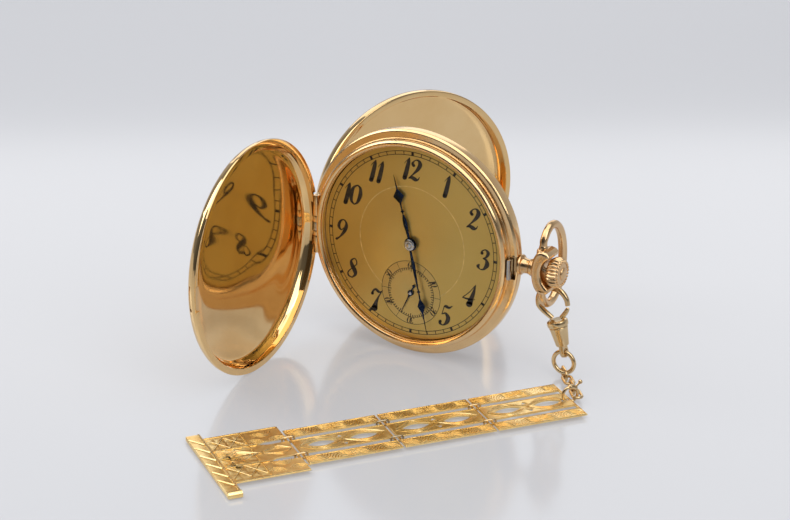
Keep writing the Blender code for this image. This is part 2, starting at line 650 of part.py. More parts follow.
def make_escapement(arbors):
    """The fork and the balance, with the hairspring flat above the balance wheel."""
    line = math.degrees(ESCAPE_LINE)
    left, right = [polar(1.6, ESCAPE_LINE + math.pi / 2 * s) for s in (1, -1)]
    tip = polar(2.6, ESCAPE_LINE)
    fork = plate("pallet_fork", [capsule((0, 0), tip, 0.45, 0.35)], 3.35, 3.6, "steel",
                 arbors["fork"])
    anchor = plate("anchor_arms", [capsule(left, right, 0.3, 0.3)], 3.3, 3.65, None, arbors["fork"])
    combine(fork, [anchor, rod("fork_arbor", 0.2, -3.8, -2.45, (0, 0, 0), arbors["fork"], FRONT,
                               steps=8)])
    rim = [circle(6.0, 32)]
    for start in (line, line + 180):
        rim.append(arc(5.3, start + 6, start + 174, 10) + arc(1.0, start + 150, start + 30, 4))
    balance = plate("balance_wheel", rim, 4.4, 4.75, "gilt_brass", arbors["balance"])
    combine(balance, [rod("staff", 0.25, -5.1, -2.45, (0, 0, 0), arbors["balance"], FRONT, steps=8)])
    wire("hairspring", spiral(0.6, 3.6, 3, 10), 0.05, "blued_steel", arbors["balance"],
         (0, 4.95, 0), FRONT, bevel=0)


# ---- clip and links --------------------------------------------------------------------------
def stadium(half_length, half_height, per_end=5):
    """A closed loop in the XZ plane with straight sides and round ends."""
    reach = half_length - half_height
    points = (arc(half_height, -90, 90, per_end, (reach, 0))
              + arc(half_height, 90, 270, per_end, (-reach, 0)))
    return [(x, 0, z) for x, z in points]


def ring_points(radius, count=16):
    return [(x, 0, z) for x, z in circle(radius, count)]


def make_clip(bow):
    """A spring clip hung on the bow: hook, gate, barrel and swivel eye, then a plain ring."""
    at = [a - b for a, b in zip(CLIP_AT, (BOW_X, PENDANT_DEPTH, 0))]
    clip = pivot("clip_swing", at, bow, (0, -CLIP_LEAN, 0))
    hook = [(-1.0, 0, -4.05), (-1.7, 0, -3.3), (-3.0, 0, -1.8)]
    hook += [(x, 0, z) for x, z in arc(3.55, 197, 0, 13, (0, -0.7))] + [(3.5, 0, -1.5)]
    wire("clip_hook", hook, 0.6, "yellow_gold", clip)
    gate = pivot("clip_gate_pivot", (1.35, 0, -3.6), clip)
    wire("clip_gate", [(0, 0, -0.5), (1.0, 0, 0.5), (1.95, 0, 1.4)], 0.42, "yellow_gold", gate)
    barrel = pivot("clip_barrel_axis", (0, 0, BARREL_TOP), clip)
    profile = [(0, -0.1), (1.75, -0.1), (2.3, -0.4), (2.3, -1.5), (1.95, -1.8), (1.35, -6.1), (0, -6.1)]
    body = turned("clip_barrel", profile, "yellow_gold", barrel, (0, 0, 0), UP, 16)
    eye_z = -EYE_DROP - BARREL_TOP
    tab = block("eye_tab", (-0.5, -1.2, eye_z - 1.25), (0.5, 1.2, -5.9), barrel)
    combine(body, [tab])
    combine(body, [rod("eye_hole", 0.8, -2, 2, (0, 0, eye_z), barrel, RIGHT)], "DIFFERENCE")
    ring = pivot("clip_ring_swing", (0, 0, eye_z), barrel, (0, CLIP_LEAN, 0))
    wire("clip_ring", ring_points(RING_R), RING_WIRE, "yellow_gold", ring, (0, 0, -RING_R),
         cyclic=True)


def make_links(watch):
    """Oval links from the clip's ring to the spring ring, upright and flat in turn."""
    start = Vector((CLIP_AT[0] + EYE_DROP * math.sin(CLIP_LEAN), CLIP_AT[1]))
    outward = Vector(polar(-1.0, FOB_TURN))
    goal = Vector(FOB_AT) + outward * (SPRING_RING_R - SPRING_RING_IN - 0.1)
    line = math.atan2(goal.y - start.y, goal.x - start.x)
    # Where a link's neighbours pull, inside its round ends.
    first_pull, link_pull, last_pull = LINK_ROUND + 0.15, 0.75, 0.95
    slack = first_pull + (LINKS - 1) * link_pull + last_pull
    half = ((goal - start).length + slack) / (2 * LINKS)
    along = half - first_pull
    swing = start
    for number in range(1, LINKS + 1):
        upright = number % 2 == 1
        turn = (0, 0, line) if upright else (math.pi / 2, 0, line)
        direction = Vector(polar(1.0, line))
        hinge = pivot("link_%d_swing" % number, (*swing, LINK_Z), watch, turn)
        offset = (start + direction * along - swing).length
        wire("link_%d" % number, stadium(half, LINK_ROUND), LINK_WIRE, "yellow_gold", hinge,
             (offset, 0, 0), cyclic=True, bevel=1)
        swing = start + direction * (along + half - 0.02)
        along += 2 * half - link_pull


# ---- fob -------------------------------------------------------------------------------------
def box_outline(start, end, low, high):
    return [(start, low), (end, low), (end, high), (start, high)]


def marquise(middle, half_length, half_width):
    """A pointed oval opening."""
    points = []
    for sign in (1, -1):
        for i in range(5):
            x = sign * half_length * (1 - i / 2.5)
            points.append((middle + x, sign * half_width * (1 - (x / half_length) ** 2)))
    return points


def slits(start, end):
    half = SLIT_WIDTH / 2
    return [box_outline(start, end, side * SLIT_Y - half, side * SLIT_Y + half) for side in (-1, 1)]


def openwork(length):
    """The openings of a long panel: two slits, two pointed ovals and two small triangles."""
    middle = length / 2
    holes = slits(STRIP, length - STRIP)
    holes += [marquise(middle + side * 4.65, 3.2, 1.25) for side in (-1, 1)]
    holes += [[(middle - 0.8, side * 1.3), (middle + 0.8, side * 1.3), (middle, side * 2.4)]
              for side in (-1, 1)]
    return holes


def panel(name, length, width, openings, parent):
    """One flat panel, from x = 0 along its parent's frame, as an outline with openings."""
    data = curve_data(name, "2D")
    data.fill_mode = "BOTH"
    data.extrude = PANEL_THICK / 2 * MM
    for points in [box_outline(0, length, -width / 2, width / 2)] + openings:
        add_points(data, [(x, y, 0) for x, y in points], True)
    return as_mesh(place(data, name, "yellow_gold", parent, (PANEL_GAP / 2, 0, 0)))


def make_fob(watch):
    """Four panels, numbered from the end bar, the rings that join them, and the spring ring."""
    fob = pivot("fob", (*FOB_AT, PANEL_Z), watch, (0, 0, FOB_TURN))
    ring_z = TABLE_Z + SPRING_RING_WIRE + SPRING_RING_R + 0.03 - PANEL_Z
    spring_ring = as_mesh(wire("spring_ring", ring_points(SPRING_RING_R), SPRING_RING_WIRE,
                               "yellow_gold", fob, (SPRING_RING_IN + 0.1, 0, ring_z), cyclic=True))
    latch_at = polar(SPRING_RING_R, math.radians(70))
    knob = rod("latch_knob", 0.32, 0.0, 1.1,
               (SPRING_RING_IN + 0.1 + latch_at[0], 0, ring_z + latch_at[1]), fob)
    combine(spring_ring, [knob])
    start = 0.0
    joints = 0
    for number in (4, 3, 2, 1):
        last = number == 1
        length = END_PANEL_LENGTH if last else PANEL_LENGTH
        width = END_PANEL_WIDTH if last else PANEL_WIDTH
        hinge = pivot("panel_%d_hinge" % number, (start, 0, 0), fob)
        holes = slits(STRIP, 6.5) if last else openwork(length)
        if number == 4:
            holes.append(box_outline(SPRING_RING_IN + 0.15, SPRING_RING_IN + 1.95, -0.5, 0.5))
        panel("fob_panel_%d" % number, length, width, holes, hinge)
        start += length + PANEL_GAP
        if not last:
            for side in (-1, 1):
                joints += 1
                wire("join_ring_%d" % joints, stadium(JOIN_HALF_LENGTH, JOIN_HALF_HEIGHT),
                     JOIN_WIRE, "yellow_gold", fob, (start, side * SLIT_Y, 0), cyclic=True, bevel=1)
    edge = start - PANEL_GAP / 2 + 0.02
    bar_low, bar_high = (edge, -12.4, -0.8), (edge + 3.1, 15.3, 0.45)
    block("end_bar", bar_low, bar_high, fob, "yellow_gold")


# ---- the whole watch -------------------------------------------------------------------------
def main():
    watch = pivot("watch", (-FOOTPRINT_MIDDLE[0], -FOOTPRINT_MIDDLE[1], -TABLE_Z))
    make_band(watch)
    make_hinge_pins(watch)
    make_cover(watch, "front")
    make_cover(watch, "rear")
    make_cuvette(watch)
    make_bezel(watch)
    make_springs(watch)
    make_pendant(watch)
    make_crown(watch)
    bow = make_bow(watch)
    make_dial(watch)
    places = {"centre": CENTRE, "hour": CENTRE, "minute": MINUTE_WHEEL, "third": THIRD,
              "fourth": FOURTH, "escape": ESCAPE, "fork": FORK, "balance": BALANCE,
              "barrel": BARREL, "ratchet": BARREL, "crown_wheel": CROWN_WHEEL}
    arbors = {name: pivot(name + "_arbor_line", (x, 0, z), watch) for name, (x, z) in places.items()}
    make_motion_work(arbors)
    make_plates(watch)
    make_train(arbors)
    make_winding_work(watch, arbors)
    make_escapement(arbors)
    make_clip(bow)
    make_links(watch)
    make_fob(watch)


main()
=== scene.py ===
"""Looks of the hunter pocket watch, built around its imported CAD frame.

Lengths are in millimetres unless a name says otherwise. The watch's own frame has its origin in the
middle of the dial's face, +X towards 3 o'clock, +Z towards 12 o'clock and +Y backwards ("depth").
"""
import json
from math import acos, asin, atan2, cos, degrees, pi, radians, sin

import bmesh
import bpy
from mathutils import Matrix, Vector


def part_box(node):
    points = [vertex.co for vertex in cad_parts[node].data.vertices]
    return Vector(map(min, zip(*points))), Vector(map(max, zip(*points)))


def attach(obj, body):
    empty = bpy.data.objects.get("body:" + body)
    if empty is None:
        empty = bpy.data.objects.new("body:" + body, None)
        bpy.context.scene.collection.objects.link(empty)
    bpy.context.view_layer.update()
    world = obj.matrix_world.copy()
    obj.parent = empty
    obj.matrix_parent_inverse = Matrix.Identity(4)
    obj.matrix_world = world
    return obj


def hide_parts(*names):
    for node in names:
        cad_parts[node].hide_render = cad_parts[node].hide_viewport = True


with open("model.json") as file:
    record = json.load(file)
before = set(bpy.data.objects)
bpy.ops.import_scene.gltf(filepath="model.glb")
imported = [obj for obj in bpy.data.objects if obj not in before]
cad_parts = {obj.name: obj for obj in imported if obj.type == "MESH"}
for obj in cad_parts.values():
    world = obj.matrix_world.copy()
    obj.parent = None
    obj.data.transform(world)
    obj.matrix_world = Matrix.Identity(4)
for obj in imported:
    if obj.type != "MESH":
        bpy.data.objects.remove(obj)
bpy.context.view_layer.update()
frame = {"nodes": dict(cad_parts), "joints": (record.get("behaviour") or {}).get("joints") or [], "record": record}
MM = 0.001

JOINTS = {joint["name"]: joint for joint in frame["joints"]}
STEPS = 192                      # round the case
WELD = 1e-7

# ---- places taken from the frame ----
dial_low, dial_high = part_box("dial")
DIAL_AT = Vector(((dial_low.x + dial_high.x) / 2, dial_low.y, (dial_low.z + dial_high.z) / 2))


def joint_at(name):
    return Vector(JOINTS[name]["pos_m"])


def spin(degrees, axis):
    return Matrix.Rotation(radians(degrees), 4, axis)


def shift(x, y, z):
    return Matrix.Translation((x * MM, y * MM, z * MM))


def on_joint(name, degrees=0, axis="Z"):
    return Matrix.Translation(joint_at(name)) @ spin(degrees, axis)


WATCH = Matrix.Translation(DIAL_AT)
FRONT_OPEN = -JOINTS["front_cover_hinge"]["range_deg"][0]
REAR_OPEN = -JOINTS["rear_cover_hinge"]["range_deg"][0]
HINGE_REACH = (DIAL_AT.x - joint_at("front_cover_hinge").x) / MM
FRONT_HINGE = on_joint("front_cover_hinge", -FRONT_OPEN)
REAR_HINGE = on_joint("rear_cover_hinge", REAR_OPEN)
INNER_HINGE = on_joint("inner_cover_hinge")
CLIP_LEAN = 16
CLIP = on_joint("clip_swing", -CLIP_LEAN, "Y")
GATE = on_joint("clip_gate_press", -CLIP_LEAN, "Y")
BARREL = on_joint("clip_swivel", -CLIP_LEAN, "Y")
CLIP_RING = on_joint("clip_ring_swing")
fob_axis = JOINTS["panel_4_hinge"]["axis"]
FOB_TURN = degrees(atan2(-fob_axis[0], fob_axis[1]))
link_axis = JOINTS["link_1_swing"]["axis"]
LINK_TURN = degrees(atan2(-link_axis[0], link_axis[1]))

# Local Z to depth, local Z towards the viewer as on the dial, and local Z towards 3 o'clock.
DEPTH = spin(-90, "X")
FACE = spin(90, "X")
ALONG_X = spin(90, "Y")

# ---- sizes shared by several pieces ----
CASE_R = 26.0
COVER_GAP = 0.3
KNUCKLE_R = 0.8
BORE_R = 0.33
HINGE_HALF = 7.25
KNUCKLES = {"top": (1.75, 6.6), "upper": (0.2, 1.7), "middle": (-1.75, 0.15),
            "lower": (-3.0, -1.8), "bottom": (-7.1, -3.05)}
SECONDS_Z = -11.65
PENDANT_DEPTH = 1.7
PANEL_LENGTH, PANEL_WIDTH, PANEL_THICK = 20.4, 16.0, 0.3
END_PANEL_LENGTH, END_PANEL_WIDTH = 15.9, 20.8
PANEL_GAP = 0.5
SLIT_Y, SLIT_WIDTH, STRIP = 3.9, 1.5, 0.6


# ---- materials ----
class Shader:
    """A Principled material and its slot, with helpers for procedural colour, roughness and relief."""

    def __init__(self, name, slot, colour, metallic, roughness):
        self.slot = slot
        self.material = bpy.data.materials.new(name)
        self.material.use_nodes = True
        self.nodes = self.material.node_tree.nodes
        self.links = self.material.node_tree.links
        self.main = self.nodes["Principled BSDF"]
        self.main.inputs["Base Color"].default_value = (*colour, 1)
        self.main.inputs["Metallic"].default_value = metallic
        self.main.inputs["Roughness"].default_value = roughness
        self.place = self.nodes.new("ShaderNodeTexCoord").outputs["Object"]

    def node(self, kind, source, socket, values):
        """A new node fed with source, with the given values on its other sockets."""
        made = self.nodes.new("ShaderNode" + kind)
        for name, value in values.items():
            made.inputs[name].default_value = value
        self.links.new(source, made.inputs[socket])
        return made

    def stretched(self, scale):
        return self.node("Mapping", self.place, "Vector", {"Scale": scale}).outputs["Vector"]

    def noise(self, scale, detail, place=None):
        values = {"Scale": scale, "Detail": detail, "Roughness": 0.55}
        return self.node("TexNoise", place or self.place, "Vector", values).outputs["Fac"]

    def wave(self, scale, kind, direction, distortion=0.0):
        node = self.node("TexWave", self.place, "Vector", {"Scale": scale, "Distortion": distortion})
        node.wave_type = kind
        if kind == "BANDS":
            node.bands_direction = direction
        else:
            node.rings_direction = direction
        return node.outputs["Fac"]

    def ramp(self, value, stops):
        """Colours at two places along a value."""
        node = self.node("ValToRGB", value, "Fac", {})
        for element, (position, colour) in zip(node.color_ramp.elements, stops):
            element.position = position
            element.color = (*colour, 1)
        return node.outputs["Color"]

    def spread(self, value, low, high, start=0.3, end=0.7):
        values = {"From Min": start, "From Max": end, "To Min": low, "To Max": high}
        return self.node("MapRange", value, "Value", values).outputs["Result"]

    def colour(self, value):
        self.links.new(value, self.main.inputs["Base Color"])

    def rough(self, value):
        self.links.new(value, self.main.inputs["Roughness"])

    def relief(self, value, distance_mm, strength):
        """Bumps on top of any that the material already has."""
        node = self.node("Bump", value, "Height", {"Distance": distance_mm * MM, "Strength": strength})
        current = self.main.inputs["Normal"]
        if current.is_linked:
            self.links.new(current.links[0].from_socket, node.inputs["Normal"])
        self.links.new(node.outputs["Normal"], current)


def polished_gold(name, slot, light, deep, rough_low, rough_high, dents):
    """Gold with faint colour drift, hairline wear in its roughness and very shallow dents."""
    made = Shader(name, slot, light, 1.0, rough_low)
    made.colour(made.ramp(made.noise(90, 4), [(0.35, deep), (0.65, light)]))
    made.rough(made.spread(made.noise(700, 5, made.stretched((1, 1, 0.25))), rough_low, rough_high))
    made.relief(made.noise(55, 1), dents, 0.35)
    made.relief(made.noise(2600, 2, made.stretched((1, 0.3, 1))), 0.004, 0.12)
    return made


def engraved_gold(name, slot, light, deep, roughness):
    """Yellow gold in patches of two tones, with a fine line-cut ground that breaks up its shine."""
    made = Shader(name, slot, light, 1.0, roughness)
    made.colour(made.ramp(made.noise(240, 3), [(0.3, deep), (0.55, light)]))
    made.rough(made.spread(made.noise(1500, 3), roughness - 0.06, roughness + 0.1))
    made.relief(made.wave(1300, "BANDS", "X", 4.0), 0.012, 0.14)
    made.relief(made.noise(700, 1), 0.02, 0.12)
    return made


def gilt_dial(name, slot, light, deep, rings):
    """Matt gilt, circular-brushed about its own origin."""
    made = Shader(name, slot, light, 0.85, 0.4)
    made.colour(made.ramp(made.noise(60, 3), [(0.3, deep), (0.7, light)]))
    made.rough(made.spread(made.noise(2500, 3), 0.36, 0.46))
    made.main.inputs["Anisotropic"].default_value = 0.55
    tangent = made.nodes.new("ShaderNodeTangent")
    tangent.direction_type = "RADIAL"
    tangent.axis = "Z"
    made.links.new(tangent.outputs["Tangent"], made.main.inputs["Tangent"])
    made.relief(made.noise(6000, 2), 0.0015, 0.15)
    if rings:
        made.relief(made.wave(700, "RINGS", "Z"), 0.01, 0.3)
    return made


def striped_nickel(name, slot):
    """Bridges with broad polished stripes."""
    made = Shader(name, slot, (0.60, 0.58, 0.55), 1.0, 0.28)
    stripe = made.wave(70, "BANDS", "DIAGONAL")
    made.rough(made.spread(stripe, 0.18, 0.42, 0.0, 1.0))
    made.colour(made.ramp(stripe, [(0.0, (0.52, 0.50, 0.47)), (1.0, (0.68, 0.66, 0.62))]))
    made.relief(made.noise(2500, 2), 0.004, 0.4)
    return made


def plain_metal(name, slot, light, deep, roughness, grain=1200):
    made = Shader(name, slot, light, 1.0, roughness)
    made.colour(made.ramp(made.noise(300, 3), [(0.3, deep), (0.7, light)]))
    made.rough(made.spread(made.noise(grain, 4), roughness * 0.7, roughness * 1.4))
    made.relief(made.noise(grain * 2, 2), 0.004, 0.3)
    return made


def crystal_glass(name, slot):
    made = Shader(name, slot, (0.01, 0.01, 0.01), 0.0, 0.02)
    made.main.inputs["Alpha"].default_value = 0.035
    made.rough(made.spread(made.noise(400, 3), 0.015, 0.05))
    return made


def printing_ink(name, slot, colour):
    made = Shader(name, slot, colour, 0.0, 0.45)
    made.colour(made.ramp(made.noise(900, 3), [(0.3, colour), (0.75, [c * 2.2 for c in colour])]))
    made.relief(made.noise(3000, 2), 0.004, 0.4)
    return made


CASE_GOLD = polished_gold("case_gold_polished", "case_gold", (0.90, 0.63, 0.33),
                          (0.82, 0.54, 0.26), 0.13, 0.22, 0.05)
INNER_GOLD = polished_gold("cover_gold_mirror", "case_gold", (0.92, 0.64, 0.31),
                           (0.87, 0.58, 0.26), 0.03, 0.07, 0.02)
RED_GOLD = polished_gold("red_gold_polished", "red_gold", (0.80, 0.55, 0.30),
                         (0.68, 0.44, 0.22), 0.16, 0.28, 0.06)
CLIP_GOLD = polished_gold("clip_gold_polished", "fob_gold", (0.80, 0.60, 0.33),
                          (0.62, 0.43, 0.22), 0.14, 0.26, 0.06)
FOB_GOLD = engraved_gold("fob_gold_engraved", "fob_gold", (1.0, 0.76, 0.35), (0.92, 0.60, 0.215), 0.34)
RIB_GOLD = polished_gold("fob_gold_bright", "fob_gold", (1.0, 0.78, 0.40),
                         (0.92, 0.64, 0.27), 0.16, 0.28, 0.03)
WORN_RING = plain_metal("joining_ring_worn", "fob_gold", (0.62, 0.50, 0.30), (0.34, 0.27, 0.19), 0.25)
DIAL_GILT = gilt_dial("dial_gilt_brushed", "gilt_dial", (0.80, 0.56, 0.165), (0.73, 0.50, 0.14), False)
SECONDS_GILT = gilt_dial("seconds_dial_snailed", "gilt_dial", (0.80, 0.57, 0.19), (0.73, 0.51, 0.165), True)
INK = printing_ink("dial_printing", "gilt_dial", (0.022, 0.016, 0.010))
ENGRAVED_LINE = printing_ink("dial_engraved_line", "gilt_dial", (0.62, 0.45, 0.16))
BLUED = plain_metal("blued_steel_hands", "blued_steel", (0.018, 0.035, 0.085), (0.008, 0.012, 0.025), 0.2)
STEEL = plain_metal("polished_steel", "steel", (0.58, 0.58, 0.58), (0.46, 0.46, 0.47), 0.18)
DARK_STEEL = plain_metal("hinge_steel", "steel", (0.40, 0.37, 0.32), (0.22, 0.19, 0.15), 0.3)
GILT_BRASS = plain_metal("movement_gilt", "gilt_brass", (0.80, 0.58, 0.26), (0.72, 0.50, 0.21), 0.3)
NICKEL = striped_nickel("movement_nickel_striped", "nickel")
GLASS = crystal_glass("watch_crystal", "glass")
RUBY = printing_ink("jewel_ruby", "nickel", (0.35, 0.01, 0.05))


# ---- mesh building ----
class Shape:
    """A mesh in progress, in millimetres of one local frame."""

    def __init__(self):
        self.points = []
        self.faces = []

    def add(self, points, faces, place=None):
        start = len(self.points)
        if place:
            points = [place @ Vector(point) for point in points]
        self.points += [tuple(point) for point in points]
        self.faces += [tuple(start + index for index in face) for face in faces]
        return self


def move(x, y, z):
    return Matrix.Translation((x, y, z))


def make_mesh(name, shape):
    mesh = bpy.data.meshes.new(name)
    mesh.from_pydata([[value * MM for value in point] for point in shape.points], [], shape.faces)
    work = bmesh.new()
    work.from_mesh(mesh)
    bmesh.ops.remove_doubles(work, verts=work.verts, dist=WELD)
    bmesh.ops.dissolve_degenerate(work, edges=work.edges, dist=WELD)
    bmesh.ops.recalc_face_normals(work, faces=work.faces)
    work.to_mesh(mesh)
    work.free()
    return mesh


def add_object(name, data, place=Matrix()):
    obj = bpy.data.objects.new(name, data)
    obj.matrix_world = place
    bpy.context.scene.collection.objects.link(obj)
    return obj


def cut(obj, shapes):
    """Takes the given shapes, in the piece's own frame, out of its mesh."""
    tools = []
    for number, shape in enumerate(shapes):
        tool = add_object("cutter_%d" % number, make_mesh("cutter", shape), obj.matrix_world)
        boolean = obj.modifiers.new("Cut", "BOOLEAN")
        boolean.operation = "DIFFERENCE"
        boolean.object = tool
        tools.append(tool)
    bpy.context.view_layer.update()
    evaluated = obj.evaluated_get(bpy.context.evaluated_depsgraph_get())
    mesh = bpy.data.meshes.new_from_object(evaluated)
    obj.modifiers.clear()
    obj.data = mesh
    for tool in tools:
        bpy.data.objects.remove(tool)


def piece(name, shape, body, shader, local=WATCH, nodes=(), cutters=(), sharp=32):
    """A finished piece on its body, with its material, in place of the CAD nodes it stands for, which it hides."""
    obj = add_object(name, make_mesh(name, shape), local)
    if cutters:
        cut(obj, cutters)
    obj.data.materials.clear()
    obj.data.materials.append(shader.material)
    obj.data.shade_smooth()
    obj.data.set_sharp_from_angle(angle=radians(sharp))
    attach(obj, body)
    if nodes:
        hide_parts(*nodes)
    return obj


def spline(points, per=6):
    """A Catmull-Rom curve through the points, which may carry a width as a further value."""
    points = [Vector(point) for point in points]
    points = [points[0] * 2 - points[1]] + points + [points[-1] * 2 - points[-2]]
    made = []
    for a, b, c, d in zip(points, points[1:], points[2:], points[3:]):
        for step in range(per):
            t = step / per
            made.append(0.5 * (2 * b + (c - a) * t + (2 * a - 5 * b + 4 * c - d) * t * t
                               + (3 * b - a - 3 * c + d) * t ** 3))
    return [tuple(point) for point in made + [points[-2]]]


def rounded(points, radius, closed=True):
    """Rounds each corner of an outline with a short curve."""
    made = []
    steps = 4
    count = len(points)
    for index, point in enumerate(points):
        if not closed and index in (0, count - 1):
            made.append(tuple(point))
            continue
        here = Vector(point)
        before = Vector(points[index - 1]) - here
        after = Vector(points[(index + 1) % count]) - here
        start = here + before.normalized() * min(radius, before.length * 0.45)
        end = here + after.normalized() * min(radius, after.length * 0.45)
        for step in range(steps + 1):
            t = step / steps
            made.append(tuple(start * (1 - t) ** 2 + here * 2 * t * (1 - t) + end * t * t))
    return made


def polar(radius, degrees, middle=(0, 0)):
    angle = radians(degrees)
    return (middle[0] + radius * cos(angle), middle[1] + radius * sin(angle))


def arc(radius, start, end, count, middle=(0, 0)):
    return [polar(radius, start + (end - start) * i / (count - 1), middle) for i in range(count)]


def box_outline(start, end, low, high):
    return [(start, low), (end, low), (end, high), (start, high)]


def circle(radius, count=32, middle=(0, 0)):
    return [polar(radius, 360 * i / count, middle) for i in range(count)]


def upright(points):
    """The same outline in the plane of local X and Z."""
    return [(x, 0, z) for x, z in points]


def lathe(shape, profile, place=None, steps=STEPS):
    """Turns (radius, height) points about local Z. A profile that ends on the axis isn't closed."""
    count = len(profile)
    spans = count if profile[-1][0] > WELD else count - 1
    points = []
    for step in range(steps):
        angle = 2 * pi * step / steps
        points += [(radius * cos(angle), radius * sin(angle), height)
                   for radius, height in profile]
    faces = []
    for step in range(steps):
        after = (step + 1) % steps
        for i in range(spans):
            j = (i + 1) % count
            faces.append((step * count + i, after * count + i, after * count + j, step * count + j))
    return shape.add(points, faces, place)


def tube(shape, path, radius, sides, closed=False):
    """A round wire along a path. radius is one number, or one for each point."""
    path = [Vector(point) for point in path]
    count = len(path)
    radii = [radius] * count if isinstance(radius, (int, float)) else radius
    tangents = []
    for i in range(count):
        before = path[i - 1] if i or closed else path[0]
        after = path[(i + 1) % count] if i < count - 1 or closed else path[-1]
        tangents.append((after - before).normalized())
    side = tangents[0].orthogonal().normalized()
    points = []
    for i in range(count):
        side = (side - tangents[i] * side.dot(tangents[i])).normalized()
        up = tangents[i].cross(side)
        for k in range(sides):
            angle = 2 * pi * k / sides
            points.append(path[i] + (side * cos(angle) + up * sin(angle)) * radii[i])
    faces = []
    for i in range(count if closed else count - 1):
        j = (i + 1) % count
        offset = 0
        if closed and j == 0:
            # The frame comes back turned, so the last ring joins the first at the nearest point.
            gaps = [(points[i * sides] - points[k]).length for k in range(sides)]
            offset = gaps.index(min(gaps))
        for k in range(sides):
            m = (k + 1) % sides
            faces.append((i * sides + k, i * sides + m, j * sides + (m + offset) % sides,
                          j * sides + (k + offset) % sides))
    if not closed:
        faces.append(tuple(reversed(range(sides))))
        faces.append(tuple((count - 1) * sides + k for k in range(sides)))
    return shape.add(points, faces)


def ball(shape, middle, radius, rows):
    profile = [polar(radius, 180 * i / rows - 90) for i in range(rows + 1)]
    return lathe(shape, profile, move(*middle), rows * 2)


def flat(shape, outlines, low, high, bevel=0.0, place=None, resolution=1):
    """A flat piece between two heights. The first outline is the edge and the rest are holes."""
    data = bpy.data.curves.new("outline", "CURVE")
    data.dimensions = "2D"
    data.fill_mode = "BOTH"
    data.extrude = (high - low) / 2 - bevel
    data.bevel_depth = bevel
    data.bevel_resolution = resolution
    data.offset = -bevel
    for outline in outlines:
        curve = data.splines.new("POLY")
        curve.points.add(len(outline) - 1)
        for target, point in zip(curve.points, outline):
            target.co = (point[0], point[1], 0, 1)
        curve.use_cyclic_u = True
    obj = add_object("outline", data)
    bpy.context.view_layer.update()
    mesh = bpy.data.meshes.new_from_object(obj.evaluated_get(bpy.context.evaluated_depsgraph_get()))
    points = [(v.co.x, v.co.y, v.co.z + (low + high) / 2) for v in mesh.vertices]
    shape.add(points, [tuple(face.vertices) for face in mesh.polygons], place)
    bpy.data.objects.remove(obj)
    bpy.data.curves.remove(data)
    bpy.data.meshes.remove(mesh)
    return shape


def box(low, high):
    """A cutter between two corners."""
    xs, ys, zs = zip(low, high)
    points = [(x, y, z) for x in xs for y in ys for z in zs]
    faces = [(0, 1, 3, 2), (4, 6, 7, 5), (0, 4, 5, 1), (2, 3, 7, 6), (0, 2, 6, 4), (1, 5, 7, 3)]
    return Shape().add(points, faces)


# ---- case ----
def knuckle(shape, key, middle, heading, low_side, high_side, reach):
    """A bored hinge knuckle with a straight web, along local Z."""
    start = degrees(asin(high_side / KNUCKLE_R))
    end = 360 + degrees(asin(low_side / KNUCKLE_R))
    outline = arc(KNUCKLE_R, start, end, 22) + [(reach, low_side), (reach, high_side)]
    low, high = KNUCKLES[key]
    place = move(*middle, 0) @ spin(heading, "Z")
    flat(shape, [outline, circle(BORE_R, 16)], low + 0.02, high - 0.02, 0.05, place)


def hinge_cutter():
    return box((-27, -1, -HINGE_HALF), (-23.85, 7, HINGE_HALF))


def make_band():
    shoulder, back, collar = 0.3, 3.1, 5.6
    profile = rounded([(24.1, 0.0), (24.1, shoulder), (25.55, shoulder), (CASE_R, 0.75),
                       (CASE_R, back - 0.45), (25.55, back), (23.6, back), (23.6, collar),
                       (22.5, collar), (22.5, 0.0)], 0.16)
    shape = lathe(Shape(), profile, DEPTH)
    cutters = [hinge_cutter(), box((24.15, -0.5, -3.3), (25.65, 0.5, 2.0)),
               box((21.0, -0.6, -3.25), (25.5, 1.85, -1.35)),
               lathe(Shape(), [(0, 20), (1.05, 20), (1.05, 27), (0, 27)],
                     move(0, PENDANT_DEPTH, 0) @ ALONG_X, 32)]
    piece("case_band_polished", shape, "case", CASE_GOLD, WATCH, ["case_band"], cutters)
    knuckles = Shape()
    for depth, web in ((shoulder, (0.05, 0.7)), (back, (-0.7, -0.05))):
        for key in ("top", "bottom"):
            knuckle(knuckles, key, (-HINGE_REACH, depth), 0, *web, 1.3)
    piece("case_hinge_knuckles", knuckles, "case", CASE_GOLD)


def make_pins():
    for side, depth in (("front", 0.3), ("rear", 3.1)):
        pin = Shape()
        place = move(-HINGE_REACH, depth, 0)
        profile = rounded([(0, -7.05), (0.3, -7.05), (0.3, 6.55), (0, 6.55)], 0.08, False)
        lathe(pin, profile, place, 24)
        piece(side + "_hinge_pin_turned", pin, "case", DARK_STEEL, WATCH, [side + "_hinge_pin"])
    low, high = KNUCKLES["middle"]
    collar = Shape()
    wall = rounded([(KNUCKLE_R, high), (KNUCKLE_R, low), (0.34, low), (0.34, high)], 0.1)
    lathe(collar, wall, move(-HINGE_REACH, 0.3, 0), 32)
    for height in (-1.15, -0.45):
        lathe(collar, [(KNUCKLE_R + 0.05, height + 0.18), (KNUCKLE_R + 0.05, height),
                       (0.7, height), (0.7, height + 0.18)], move(-HINGE_REACH, 0.3, 0), 32)
    piece("hinge_collar_steel", collar, "case", STEEL, WATCH, ["front_hinge_collar"])


